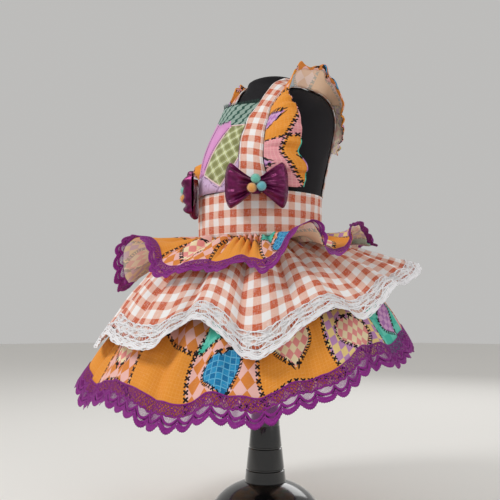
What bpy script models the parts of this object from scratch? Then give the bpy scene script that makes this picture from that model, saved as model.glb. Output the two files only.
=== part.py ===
"""A toddler's country festival dress, worn by a limbless child dress form on a turned stand.

The dress is a pinafore: a gingham waist band with a pieced bib, two shoulder straps edged with
flutter ruffles, two satin bows with pompoms, and three gathered tiers, each edged with lace.
Metres, +Z up. The origin is the centre of the stand's underside. The front of the dress faces
-Y and the wearer's left is +X. An azimuth is in degrees: 0 is the front and 90 the wearer's left.
"""

import math
from collections import namedtuple

import bmesh
import bpy
from mathutils import Matrix, Vector

# Cloth walls, with turned seams, and the clearances between pieces.
COTTON = 0.0014
LACE = 0.0010
SEAM_GAP = 0.0004
EASE = 0.0008

# Heights of the garment's main lines above the floor.
BAND_TOP = 0.420
BAND_BOTTOM = 0.363
NECKLINE = 0.538

# The dress form: rounded sections, each a half width, a half depth and the middle's place in Y.
ROUNDNESS = 2.3
FormRow = namedtuple("FormRow", "height half_x half_y middle_y")
FORM_ROWS = [
    FormRow(0.288, 0.0400, 0.0380, -0.0100),
    FormRow(0.293, 0.0580, 0.0555, -0.0100),
    FormRow(0.307, 0.0710, 0.0680, -0.0100),
    FormRow(0.335, 0.0760, 0.0730, -0.0100),
    FormRow(0.365, 0.0772, 0.0745, -0.0100),
    FormRow(0.400, 0.0775, 0.0753, -0.0096),
    FormRow(0.420, 0.0777, 0.0756, -0.0086),
    FormRow(0.450, 0.0790, 0.0760, -0.0020),
    FormRow(0.475, 0.0805, 0.0745, 0.0060),
    FormRow(0.497, 0.0815, 0.0715, 0.0145),
    FormRow(0.518, 0.0815, 0.0670, 0.0225),
    FormRow(0.534, 0.0800, 0.0620, 0.0260),
    FormRow(0.548, 0.0745, 0.0550, 0.0265),
    FormRow(0.559, 0.0640, 0.0475, 0.0245),
    FormRow(0.567, 0.0500, 0.0410, 0.0210),
    FormRow(0.573, 0.0385, 0.0365, 0.0185),
    FormRow(0.579, 0.0352, 0.0345, 0.0180),
    FormRow(0.586, 0.0345, 0.0340, 0.0180),
]
FORM_HEART = (0.014, 0.475)
FORM_SIDES = 36

# The stand: a turned pole in telescoping lengths, on a round domed and weighted base.
BASE_RADIUS = 0.0720
BASE_EDGE = 0.0040
DOME_RISE = 0.0470
DOME_RINGS = 7
POLE_FOOT_RADIUS = 0.0270
POLE_WAIST = (0.0190, 0.120)
POLE_NECK_RADIUS = 0.0150
POLE_GROOVES = (0.064, 0.092)
GROOVE_DEPTH = 0.0011

# Gathered tiers. A row is one crest or hollow of the edge: its place round the waist, how far
# the edge swings to the side of it, the edge's radius from the stand's axis and its height, and
# the power by which the wall falls away from the seam.
Fold = namedtuple("Fold", "azimuth swing radius height fall")
PEPLUM_FOLDS = [
    Fold(-60, 2, 0.190, 0.3040, 1.8),
    Fold(-44, 0, 0.200, 0.2990, 2.0),
    Fold(-34, -2, 0.198, 0.3530, 1.8),
    Fold(-26, 0, 0.176, 0.3670, 1.5),
    Fold(-16, 3, 0.171, 0.3450, 1.5),
    Fold(-4, 1, 0.180, 0.3100, 1.5),
    Fold(8, 1, 0.167, 0.3130, 1.5),
    Fold(15, 0, 0.155, 0.3190, 1.5),
    Fold(24, 0, 0.161, 0.3130, 1.5),
    Fold(34, 1, 0.155, 0.3245, 1.5),
    Fold(43, 1, 0.171, 0.3110, 1.5),
    Fold(50, 1, 0.164, 0.3280, 1.5),
    Fold(57, 3, 0.155, 0.3650, 1.5),
    Fold(63, 6, 0.150, 0.3755, 1.5),
    Fold(68, 5, 0.155, 0.3620, 1.5),
    Fold(73, -2, 0.161, 0.3500, 1.5),
    Fold(78, -9, 0.166, 0.3390, 1.5),
    Fold(83, -11, 0.175, 0.3330, 1.5),
    Fold(88, -12, 0.178, 0.3360, 1.5),
    Fold(94, -13, 0.171, 0.3530, 1.5),
    Fold(100, -15, 0.156, 0.3720, 1.5),
    Fold(108, -14, 0.149, 0.3780, 1.5),
    Fold(117, -9, 0.145, 0.3740, 1.5),
    Fold(127, -5, 0.144, 0.3600, 1.5),
    Fold(140, -2, 0.152, 0.3560, 1.5),
    Fold(152, 0, 0.152, 0.3760, 1.5),
    Fold(165, 0, 0.158, 0.3570, 1.5),
    Fold(178, 0, 0.150, 0.3780, 1.5),
    Fold(192, 0, 0.160, 0.3550, 1.5),
    Fold(206, 0, 0.152, 0.3750, 1.5),
    Fold(220, 0, 0.165, 0.3460, 1.5),
    Fold(233, 0, 0.158, 0.3680, 1.5),
    Fold(247, 0, 0.173, 0.3320, 1.5),
    Fold(260, 0, 0.166, 0.3580, 1.5),
    Fold(273, 0, 0.181, 0.3170, 1.5),
    Fold(286, 0, 0.174, 0.3480, 1.5),
]
MIDDLE_FOLDS = [
    Fold(-52, 0, 0.205, 0.2440, 1.7),
    Fold(-35, 0, 0.222, 0.2220, 1.7),
    Fold(-20, 0, 0.212, 0.2390, 1.7),
    Fold(-9, 1, 0.217, 0.2330, 1.5),
    Fold(6, 2, 0.216, 0.2280, 1.5),
    Fold(17, 0, 0.188, 0.2590, 1.5),
    Fold(28, -1, 0.195, 0.2540, 1.5),
    Fold(42, 0, 0.217, 0.2200, 1.5),
    Fold(56, 0, 0.201, 0.2510, 1.5),
    Fold(68, 0, 0.199, 0.2740, 1.5),
    Fold(77, 0, 0.210, 0.2630, 1.5),
    Fold(92, 0, 0.204, 0.2960, 1.5),
    Fold(107, 0, 0.208, 0.3110, 1.5),
    Fold(123, 0, 0.203, 0.3270, 1.6),
    Fold(138, 0, 0.192, 0.3280, 1.6),
    Fold(154, 0, 0.206, 0.3080, 1.6),
    Fold(171, 0, 0.190, 0.3290, 1.6),
    Fold(188, 0, 0.207, 0.3050, 1.6),
    Fold(205, 0, 0.190, 0.3230, 1.6),
    Fold(222, 0, 0.210, 0.2960, 1.6),
    Fold(240, 0, 0.195, 0.3000, 1.6),
    Fold(257, 0, 0.213, 0.2670, 1.7),
    Fold(274, 0, 0.197, 0.2760, 1.7),
    Fold(291, 0, 0.216, 0.2420, 1.7),
]
HEM_FOLDS = [
    Fold(-57, 0, 0.243, 0.1820, 1.35),
    Fold(-44, 0, 0.250, 0.1740, 1.35),
    Fold(-26, 0, 0.238, 0.1490, 1.35),
    Fold(-10, 0, 0.234, 0.1620, 1.35),
    Fold(4, 0, 0.236, 0.1540, 1.35),
    Fold(18, 0, 0.238, 0.1410, 1.35),
    Fold(30, 0, 0.228, 0.1540, 1.35),
    Fold(42, 0, 0.237, 0.1500, 1.35),
    Fold(55, 0, 0.228, 0.1680, 1.35),
    Fold(66, 0, 0.232, 0.1810, 1.5),
    Fold(78, 0, 0.216, 0.2050, 1.65),
    Fold(92, 0, 0.213, 0.2070, 1.65),
    Fold(108, 0, 0.199, 0.2220, 1.65),
    Fold(124, 0, 0.192, 0.2160, 1.65),
    Fold(141, 0, 0.200, 0.2260, 1.65),
    Fold(158, 0, 0.200, 0.2160, 1.65),
    Fold(176, 0, 0.210, 0.2280, 1.65),
    Fold(194, 0, 0.203, 0.2150, 1.65),
    Fold(212, 0, 0.212, 0.2200, 1.65),
    Fold(230, 0, 0.208, 0.2030, 1.65),
    Fold(248, 0, 0.222, 0.2060, 1.4),
    Fold(266, 0, 0.219, 0.1870, 1.4),
    Fold(285, 0, 0.238, 0.1900, 1.4),
]

# A tier's cut: where its seam lies under the band, and the shares of its length where the
# cloth ends and its lace begins.
Tier = namedtuple("Tier", "name seam_drop cloth_end lace_start rows stations folds")
PEPLUM = Tier("peplum", 0.0007, 0.90, 0.80, 5, 96, PEPLUM_FOLDS)
MIDDLE = Tier("middle", 0.0028, 0.94, 0.86, 5, 72, MIDDLE_FOLDS)
HEM = Tier("bottom", 0.0049, 0.955, 0.885, 5, 72, HEM_FOLDS)
SEAM_OUT = 0.0016
GATHERS = 24
GATHER_RISE = 0.0022

# Shoulder straps. A row is a turn about the form's heart, from the front of the band over the
# shoulder to its back, the strap's middle there and its width.
StrapRow = namedtuple("StrapRow", "turn x width")
STRAP_ROWS = [
    StrapRow(-36, 0.0500, 0.036),
    StrapRow(-13, 0.0480, 0.032),
    StrapRow(-2, 0.0470, 0.028),
    StrapRow(30, 0.0400, 0.025),
    StrapRow(57, 0.0380, 0.026),
    StrapRow(75, 0.0440, 0.026),
    StrapRow(95, 0.0540, 0.027),
    StrapRow(126, 0.0520, 0.030),
    StrapRow(185, 0.0470, 0.034),
    StrapRow(224, 0.0460, 0.034),
]
STRAP_STATIONS = 24
STRAP_LINES = 5
STRAP_EASE = 0.0016

# Flutter ruffles. A row is one crest or hollow of the free edge: the turn of the strap that it
# is sewn to, the edge's place, and how far the ruffle bellies out on the way to it.
Flutter = namedtuple("Flutter", "turn x y z belly")
LEFT_FLUTTER = [
    Flutter(-34, 0.0885, -0.0190, 0.4250, 0.0065),
    Flutter(-20, 0.0935, -0.0195, 0.4420, 0.0080),
    Flutter(-12, 0.0950, -0.0200, 0.4530, 0.0120),
    Flutter(-4, 0.0890, -0.0290, 0.4670, 0.0070),
    Flutter(6, 0.0920, -0.0270, 0.4800, 0.0110),
    Flutter(18, 0.0915, -0.0270, 0.5030, 0.0120),
    Flutter(32, 0.0860, -0.0260, 0.5230, 0.0110),
    Flutter(46, 0.0750, -0.0270, 0.5400, 0.0100),
    Flutter(58, 0.0660, -0.0220, 0.5560, 0.0050),
    Flutter(68, 0.0650, -0.0110, 0.5780, 0.0020),
    Flutter(78, 0.0680, -0.0010, 0.5935, 0.0010),
    Flutter(88, 0.0740, 0.0110, 0.5870, 0.0050),
    Flutter(97, 0.0820, 0.0240, 0.5930, 0.0020),
    Flutter(107, 0.0900, 0.0360, 0.5760, 0.0040),
    Flutter(118, 0.0930, 0.0530, 0.5500, 0.0040),
    Flutter(132, 0.0840, 0.0640, 0.5240, 0.0040),
    Flutter(146, 0.0800, 0.0700, 0.5080, 0.0050),
    Flutter(160, 0.0720, 0.0710, 0.4930, 0.0030),
    Flutter(172, 0.0700, 0.0680, 0.4800, 0.0015),
]
RIGHT_FLUTTER = [
    Flutter(-34, 0.0900, -0.0140, 0.4270, 0.0050),
    Flutter(-24, 0.0930, -0.0170, 0.4400, 0.0050),
    Flutter(-14, 0.1000, -0.0370, 0.4590, 0.0050),
    Flutter(-6, 0.1030, -0.0370, 0.4720, 0.0080),
    Flutter(6, 0.0910, -0.0060, 0.4800, 0.0140),
    Flutter(18, 0.0890, 0.0010, 0.4980, 0.0140),
    Flutter(32, 0.0870, -0.0040, 0.5200, 0.0120),
    Flutter(46, 0.0790, -0.0050, 0.5390, 0.0100),
    Flutter(58, 0.0680, -0.0040, 0.5590, 0.0060),
    Flutter(68, 0.0650, 0.0030, 0.5800, 0.0020),
    Flutter(78, 0.0660, 0.0140, 0.5930, 0.0010),
    Flutter(88, 0.0690, 0.0270, 0.5960, 0.0020),
    Flutter(97, 0.0720, 0.0400, 0.5890, 0.0030),
    Flutter(107, 0.0820, 0.0500, 0.5770, 0.0040),
    Flutter(118, 0.0890, 0.0580, 0.5500, 0.0040),
    Flutter(132, 0.0840, 0.0640, 0.5240, 0.0040),
    Flutter(146, 0.0800, 0.0700, 0.5080, 0.0050),
    Flutter(160, 0.0720, 0.0710, 0.4930, 0.0030),
    Flutter(172, 0.0700, 0.0680, 0.4800, 0.0015),
]
FLUTTER_STATIONS = 54
FLUTTER_ROWS_OUT = 4

# Bib and the patches on it, as shares of the bib's half width and of its height.
BIB_COLUMNS = 9
BIB_ROWS = 9
Patch = namedtuple("Patch", "name right left low high slant")
PATCHES = [
    Patch("patch_neck", -0.98, 0.98, 0.76, 1.00, 0.00),
    Patch("patch_front", -0.60, 0.14, 0.22, 0.72, 0.10),
    Patch("patch_plaid", 0.22, 0.96, 0.18, 0.72, 0.16),
    Patch("patch_low_left", 0.18, 0.96, 0.01, 0.13, 0.00),
    Patch("patch_low_right", -0.96, -0.66, 0.01, 0.70, 0.00),
]
PATCH_WALL = 0.0008

# Bows: a row is a section across the bow, by its distance from the pinch.
BowRow = namedtuple("BowRow", "along half_height half_depth")
BOW_ROWS = [
    BowRow(0.0000, 0.0100, 0.0050),
    BowRow(0.0065, 0.0105, 0.0050),
    BowRow(0.0130, 0.0150, 0.0052),
    BowRow(0.0250, 0.0230, 0.0078),
    BowRow(0.0345, 0.0280, 0.0056),
    BowRow(0.0390, 0.0270, 0.0018),
]
BOW_AZIMUTH = 45
BOW_BACK = 0.0915
BOW_SIDE = -0.0103
BOW_HEIGHT = 0.4240
BOW_SIDES = 12
POMPOM_RADIUS = 0.0058
PompomPlace = namedtuple("PompomPlace", "colour along up")
POMPOM_PLACES = [
    PompomPlace("mint", -0.15, 1.15),
    PompomPlace("orange", -0.93, -0.78),
    PompomPlace("teal", 1.08, -0.45),
]

# Back closure: the band's end laps over its start and two buttons hold it. The azimuths are
# those of the under end, where the upper end starts to rise, and the upper end.
LAP_UNDER = -204
LAP_RISES_FROM = 142
LAP_OVER = 174
LAP_RISE = 0.0021
BUTTON_AZIMUTH = 164
BUTTON_RADIUS = 0.0060
BUTTON_HEIGHT = 0.0022
BUTTON_GAP = 0.0007
BUTTON_LEVELS = (0.3770, 0.4010)


def clear_scene():
    for item in list(bpy.data.objects):
        bpy.data.objects.remove(item, do_unlink=True)


def finish(name, colour, roughness, metallic=0.0):
    material = bpy.data.materials.new(name)
    material.use_nodes = True
    shader = material.node_tree.nodes["Principled BSDF"]
    shader.inputs["Base Color"].default_value = (*colour, 1.0)
    shader.inputs["Roughness"].default_value = roughness
    shader.inputs["Metallic"].default_value = metallic
    return material


def add_object(name, shape, material):
    """Makes an object of a bmesh, shades its round faces smooth and gives it its material."""
    mesh = bpy.data.meshes.new(name)
    shape.to_mesh(mesh)
    shape.free()
    mesh.shade_smooth()
    mesh.set_sharp_from_angle(angle=math.radians(40))
    mesh.materials.append(material)
    item = bpy.data.objects.new(name, mesh)
    bpy.context.scene.collection.objects.link(item)
    return item


def smooth_value(rows, column, at, period=None):
    """One column of a table at a place between its rows, on a smooth curve through them."""
    places = [row[0] for row in rows]
    values = [row[column] for row in rows]
    if period:
        places = [places[-2] - period, places[-1] - period] + places
        places = places + [places[2] + period, places[3] + period]
        values = values[-2:] + values + values[:2]
        at = (at - places[2]) % period + places[2]
    last = len(places) - 2
    index = 0
    while index < last and at > places[index + 1]:
        index += 1
    span = places[index + 1] - places[index]
    share = min(max((at - places[index]) / span, 0.0), 1.0)

    def slope(k):
        before = max(k - 1, 0)
        after = min(k + 1, len(places) - 1)
        return (values[after] - values[before]) / (places[after] - places[before])

    square = share * share
    cube = square * share
    return ((2 * cube - 3 * square + 1) * values[index]
            + (cube - 2 * square + share) * span * slope(index)
            + (3 * square - 2 * cube) * values[index + 1]
            + (cube - square) * span * slope(index + 1))


def form_section(height, out=0.0):
    """Half width, half depth and middle of the form at a height, grown by a clearance."""
    half_x = smooth_value(FORM_ROWS, 1, height) + out
    half_y = smooth_value(FORM_ROWS, 2, height) + out
    return half_x, half_y, smooth_value(FORM_ROWS, 3, height)


def round_point(azimuth, height, out=0.0):
    """A point of the form's section at a height, at an azimuth."""
    half_x, half_y, middle = form_section(height, out)
    angle = math.radians(azimuth)
    power = 2.0 / ROUNDNESS
    side = math.copysign(abs(math.sin(angle)) ** power, math.sin(angle))
    front = math.copysign(abs(math.cos(angle)) ** power, math.cos(angle))
    return Vector((half_x * side, middle - half_y * front, height))


def front_point(x, height, out):
    """The point of the form's front at a distance from its middle line."""
    half_x, half_y, middle = form_section(height, out)
    reach = 1.0 - min(abs(x) / half_x, 1.0) ** ROUNDNESS
    return Vector((x, middle - half_y * reach ** (1.0 / ROUNDNESS), height))


def over_point(x, turn, out):
    """The point of the form in the upright plane at x, at a turn from front over to back."""
    heart_y, heart_z = FORM_HEART
    step_y = -math.cos(math.radians(turn))
    step_z = math.sin(math.radians(turn))
    inside = 0.0
    outside = 0.2
    for _ in range(30):
        middle = (inside + outside) / 2
        y = heart_y + step_y * middle
        z = heart_z + step_z * middle
        half_x, half_y, middle_y = form_section(z - out * max(step_z, 0.0), out)
        fill = (abs(x) / half_x) ** ROUNDNESS + (abs(y - middle_y) / half_y) ** ROUNDNESS
        if fill < 1.0 and z < FORM_ROWS[-1].height:
            inside = middle
        else:
            outside = middle
    return Vector((x, heart_y + step_y * inside, heart_z + step_z * inside))


def moved_out(points, distance, closed=False):
    """A grid of points moved out along its own normals."""
    rows = len(points)
    columns = len(points[0])
    result = []
    for r in range(rows):
        line = []
        for c in range(columns):
            down = points[min(r + 1, rows - 1)][c] - points[max(r - 1, 0)][c]
            if closed:
                along = points[r][(c + 1) % columns] - points[r][c - 1]
            else:
                along = points[r][min(c + 1, columns - 1)] - points[r][max(c - 1, 0)]
            line.append(points[r][c] + down.cross(along).normalized() * distance)
        result.append(line)
    return result


def cloth_wall(name, points, wall, material, closed=False):
    """A cloth wall whose outer face runs through a grid of points.

    Rows run from the top or inner edge to the free one, and columns anticlockwise from above.
    """
    shape = bmesh.new()
    rows = [[shape.verts.new(point) for point in line] for line in points]
    columns = len(rows[0])
    spans = columns if closed else columns - 1
    for upper, lower in zip(rows, rows[1:]):
        for c in range(spans):
            after = (c + 1) % columns
            shape.faces.new((upper[c], lower[c], lower[after], upper[after]))
    item = add_object(name, shape, material)
    solidify = item.modifiers.new("Wall", "SOLIDIFY")
    solidify.thickness = wall
    solidify.offset = -1.0
    solidify.use_rim = True
    return item


def mirrored(points):
    """A grid of points on the wearer's other side, still facing out."""
    return [[Vector((-p.x, p.y, p.z)) for p in reversed(line)] for line in points]


def turned(name, profile, sides, material, middle=(0.0, 0.0)):
    """A solid of revolution about an upright axis, from its profile of radius and height."""
    shape = bmesh.new()
    rings = []
    for radius, height in profile:
        ring = bmesh.ops.create_circle(shape, cap_ends=False, segments=sides, radius=radius)
        for vertex in ring["verts"]:
            vertex.co += Vector((middle[0], middle[1], height))
        rings.append(ring["verts"])
    for lower, upper in zip(rings, rings[1:]):
        for c in range(sides):
            after = (c + 1) % sides
            shape.faces.new((lower[c], lower[after], upper[after], upper[c]))
    shape.faces.new(list(reversed(rings[0])))
    shape.faces.new(rings[-1])
    bmesh.ops.recalc_face_normals(shape, faces=shape.faces[:])
    return add_object(name, shape, material)


def tier_point(tier, azimuth, share):
    """The outer face of a gathered tier, by its place round the waist and down its length."""
    seam_height = BAND_BOTTOM - tier.seam_drop
    seam = round_point(azimuth, seam_height, SEAM_OUT)
    swing, radius, height, fall = (smooth_value(tier.folds, column, azimuth, 360)
                                   for column in (1, 2, 3, 4))
    edge_azimuth = math.radians(azimuth)
    edge = Vector((radius * math.sin(edge_azimuth), -radius * math.cos(edge_azimuth), height))
    point = seam.lerp(edge, share)
    point.rotate(Matrix.Rotation(math.radians(swing) * share ** 3, 3, "Z"))
    point.z = seam_height + (height - seam_height) * share ** fall
    return point


def tier_grid(tier, shares):
    """Points of a tier all round the waist, with the small gathers of the peplum's seam."""
    grid = []
    for share in shares:
        line = []
        for k in range(tier.stations):
            azimuth = 360.0 * k / tier.stations
            point = tier_point(tier, azimuth, share)
            if tier.name == "peplum":
                wave = 0.5 - 0.5 * math.cos(math.radians(azimuth * GATHERS))
                point.z += GATHER_RISE * wave * 16 * (share * (1 - share)) ** 2
            line.append(point)
        grid.append(line)
    return grid


def build_tier(tier, cloth, lace):
    """A gathered tier of cloth and the lace that is sewn along the outside of its edge."""
    steps = tier.rows
    shares = [tier.lace_start * k / (steps - 2) for k in range(steps - 1)] + [tier.cloth_end]
    cloth_wall(f"tier_{tier.name}", tier_grid(tier, shares), COTTON, cloth, closed=True)
    grid = tier_grid(tier, [tier.lace_start, tier.cloth_end, 1.0])
    outer = moved_out(grid, SEAM_GAP + LACE, closed=True)
    cloth_wall(f"lace_{tier.name}", outer, LACE, lace, closed=True)


def build_form(fabric, gloss):
    """The padded torso with its neck, the turned pole and the round base."""
    heights = [row.height for row in FORM_ROWS]
    shape = bmesh.new()
    rings = []
    for height in heights:
        ring = [round_point(360.0 * k / FORM_SIDES, height) for k in range(FORM_SIDES)]
        rings.append([shape.verts.new(point) for point in ring])
    for lower, upper in zip(rings, rings[1:]):
        for c in range(FORM_SIDES):
            after = (c + 1) % FORM_SIDES
            shape.faces.new((lower[c], lower[after], upper[after], upper[c]))
    shape.faces.new(list(reversed(rings[0])))
    shape.faces.new(rings[-1])
    add_object("form_torso", shape, fabric)

    pole_top = FORM_ROWS[0].height - SEAM_GAP
    foot_share = POLE_FOOT_RADIUS / BASE_RADIUS
    dome_top = BASE_EDGE + DOME_RISE * math.sqrt(1.0 - foot_share ** 2)
    pole_foot = dome_top + SEAM_GAP
    profile = [(POLE_FOOT_RADIUS, pole_foot)]
    for groove in POLE_GROOVES:
        share = (groove - pole_foot) / (POLE_WAIST[1] - pole_foot)
        radius = POLE_FOOT_RADIUS + (POLE_WAIST[0] - POLE_FOOT_RADIUS) * share
        profile.append((radius + GROOVE_DEPTH * 0.3, groove - GROOVE_DEPTH))
        profile.append((radius - GROOVE_DEPTH, groove))
        profile.append((radius, groove + GROOVE_DEPTH))
    profile += [POLE_WAIST, (0.0165, 0.180), (POLE_NECK_RADIUS, pole_top)]
    turned("form_pole", profile, 20, gloss)

    profile = [(BASE_RADIUS - 0.0015, 0.0), (BASE_RADIUS, 0.0015)]
    for k in range(DOME_RINGS + 1):
        turn = math.acos(foot_share) * k / DOME_RINGS
        profile.append((BASE_RADIUS * math.cos(turn), BASE_EDGE + DOME_RISE * math.sin(turn)))
    turned("form_base", profile, 32, gloss)


def build_band(cloth, ivory):
    """The gingham waist band, lapped at the centre back, and the two buttons on the lap."""
    stations = 50
    out = EASE + COTTON
    grid = []
    for height in (BAND_TOP, (BAND_TOP + BAND_BOTTOM) / 2, BAND_BOTTOM):
        line = []
        for k in range(stations + 1):
            azimuth = LAP_UNDER + (LAP_OVER - LAP_UNDER) * k / stations
            rising = LAP_UNDER + 360.0 - LAP_RISES_FROM
            lift = min(max((azimuth - LAP_RISES_FROM) / rising, 0.0), 1.0)
            line.append(round_point(azimuth, height, out + LAP_RISE * lift * lift * (3 - 2 * lift)))
        grid.append(line)
    cloth_wall("waist_band", grid, COTTON, cloth)

    for name, level in zip(("button_low", "button_high"), BUTTON_LEVELS):
        shape = bmesh.new()
        bmesh.ops.create_cone(shape, cap_ends=True, segments=20, radius1=BUTTON_RADIUS,
                              radius2=BUTTON_RADIUS * 0.93, depth=BUTTON_HEIGHT)
        seat = round_point(BUTTON_AZIMUTH, level, out + LAP_RISE)
        along = round_point(BUTTON_AZIMUTH + 1, level) - round_point(BUTTON_AZIMUTH - 1, level)
        away = Vector((along.y, -along.x, 0.0)).normalized()
        facing = away.to_track_quat("Z", "Y").to_matrix()
        bmesh.ops.rotate(shape, cent=(0, 0, 0), matrix=facing, verts=shape.verts[:])
        middle = seat + away * (BUTTON_GAP + BUTTON_HEIGHT / 2)
        bmesh.ops.translate(shape, vec=middle, verts=shape.verts[:])
        add_object(name, shape, ivory)


def band_turn(x, out, back=False):
    """The turn at which the strap's line at x comes down to the top of the waist band."""
    heart_y, heart_z = FORM_HEART
    low = BAND_TOP + SEAM_GAP
    front_y = front_point(x, low, out).y
    if back:
        back_y = 2 * form_section(low)[2] - front_y
        return 180 - math.degrees(math.atan2(low - heart_z, back_y - heart_y))
    return math.degrees(math.atan2(low - heart_z, heart_y - front_y))


def strap_x(turn, across):
    """How far out the strap's line lies at a turn; across is -0.5 at its inner edge."""
    return smooth_value(STRAP_ROWS, 1, turn) + smooth_value(STRAP_ROWS, 2, turn) * across


def strap_grid(out):
    """Points of the wearer's left strap, from its inner to its outer edge."""
    grid = []
    for r in range(STRAP_LINES):
        across = r / (STRAP_LINES - 1) - 0.5
        first = band_turn(STRAP_ROWS[0].x + STRAP_ROWS[0].width * across, out)
        last = band_turn(STRAP_ROWS[-1].x + STRAP_ROWS[-1].width * across, out, back=True)
        line = []
        for k in range(STRAP_STATIONS + 1):
            turn = first + (last - first) * k / STRAP_STATIONS
            line.append(over_point(strap_x(turn, across), turn, out))
        grid.append(line)
    return grid


def strap_inner_x(height):
    """How far the straps' inner edges stand from the middle line of the front, at a height."""
    heart_y, heart_z = FORM_HEART
    turn = 0.0
    for _ in range(20):
        point = front_point(strap_x(turn, -0.5), height, EASE)
        turn = math.degrees(math.atan2(height - heart_z, heart_y - point.y))
    return strap_x(turn, -0.5)


def bib_point(across, up, out):
    """A point of the bib by its share across, -1 to 1, and its share up."""
    low = BAND_TOP + SEAM_GAP
    height = low + (NECKLINE - low) * up
    half = strap_inner_x(height) - 0.0012
    return front_point(across * half, height, out)


def build_bib(cloth, patch_finishes):
    """The bib between the straps and the pieced patches sewn on it."""
    out = EASE + COTTON
    grid = []
    for r in range(BIB_ROWS):
        up = 1.0 - r / (BIB_ROWS - 1)
        grid.append([bib_point(2.0 * c / (BIB_COLUMNS - 1) - 1.0, up, out)
                     for c in range(BIB_COLUMNS)])
    cloth_wall("bib", grid, COTTON, cloth)
    for patch in PATCHES:
        grid = []
        for r in range(5):
            up = patch.high + (patch.low - patch.high) * r / 4
            lean = patch.slant * (up - patch.low)
            line = []
            for c in range(5):
                across = patch.right + (patch.left - patch.right) * c / 4
                line.append(bib_point(across, up + lean * (across - patch.left), out))
            grid.append(line)
        raised = moved_out(grid, SEAM_GAP + PATCH_WALL)
        cloth_wall(patch.name, raised, PATCH_WALL, patch_finishes[patch.name])


def flutter_grid(folds):
    """Points of a ruffle, drawn on the wearer's left, from the strap to its free edge."""
    first = folds[0].turn
    last = folds[-1].turn
    grid = []
    for r in range(FLUTTER_ROWS_OUT):
        share = r / (FLUTTER_ROWS_OUT - 1)
        line = []
        for k in range(FLUTTER_STATIONS + 1):
            turn = first + (last - first) * k / FLUTTER_STATIONS
            x = strap_x(turn, 0.5) + 2 * SEAM_GAP
            start = over_point(x, turn, STRAP_EASE + COTTON)
            edge = Vector([smooth_value(folds, column, turn) for column in (1, 2, 3)])
            middle = (start + edge) / 2
            away = (middle - Vector((0.0, *FORM_HEART))).normalized()
            middle += away * smooth_value(folds, 4, turn) * 2.0
            line.append(start * (1 - share) ** 2 + middle * 2 * share * (1 - share)
                        + edge * share ** 2)
        grid.append(line)
    return grid


def build_straps(gingham, printed):
    """Two shoulder straps and the flutter ruffles sewn along their outer edges."""
    strap = strap_grid(STRAP_EASE + COTTON)
    cloth_wall("strap_left", strap, COTTON, gingham)
    cloth_wall("strap_right", mirrored(strap), COTTON, gingham)
    cloth_wall("ruffle_left", flutter_grid(LEFT_FLUTTER), COTTON, printed)
    cloth_wall("ruffle_right", mirrored(flutter_grid(RIGHT_FLUTTER)), COTTON, printed)


def bow_point(along, out, height, side):
    """A point by its place along a bow, out from the form's axis, and up; side is 1 or -1."""
    angle = math.radians(BOW_AZIMUTH)
    away = Vector((math.sin(angle), -math.cos(angle), 0.0))
    across = Vector((math.cos(angle), math.sin(angle), 0.0))
    point = away * out + across * (along + BOW_SIDE) + Vector((0.0, 0.0, height))
    point.x *= side
    return point


def build_bows(satin, felts):
    """Two flat satin bows, pinched in the middle, each with three pompoms."""
    for side, name in ((1, "left"), (-1, "right")):
        rows = [BowRow(-row.along, row.half_height, row.half_depth) for row in BOW_ROWS[:0:-1]]
        rows += BOW_ROWS
        shape = bmesh.new()
        rings = []
        for row in rows:
            ring = []
            for k in range(BOW_SIDES):
                angle = 2 * math.pi * k / BOW_SIDES
                height = BOW_HEIGHT + row.half_height * math.sin(angle)
                out = BOW_BACK + row.half_depth * (1.0 + math.cos(angle))
                ring.append(shape.verts.new(bow_point(row.along, out, height, side)))
            rings.append(ring)
        for first, second in zip(rings, rings[1:]):
            for k in range(BOW_SIDES):
                after = (k + 1) % BOW_SIDES
                shape.faces.new((first[k], first[after], second[after], second[k]))
        shape.faces.new(rings[0])
        shape.faces.new(rings[-1])
        bmesh.ops.recalc_face_normals(shape, faces=shape.faces[:])
        add_object(f"bow_{name}", shape, satin)

        front = BOW_BACK + 2 * BOW_ROWS[0].half_depth + POMPOM_RADIUS
        for place in POMPOM_PLACES:
            shape = bmesh.new()
            bmesh.ops.create_icosphere(shape, subdivisions=2, radius=POMPOM_RADIUS)
            up = BOW_HEIGHT + place.up * POMPOM_RADIUS
            middle = bow_point(place.along * POMPOM_RADIUS, front, up, side)
            bmesh.ops.translate(shape, vec=middle, verts=shape.verts[:])
            add_object(f"pompom_{name}_{place.colour}", shape, felts[place.colour])


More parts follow.
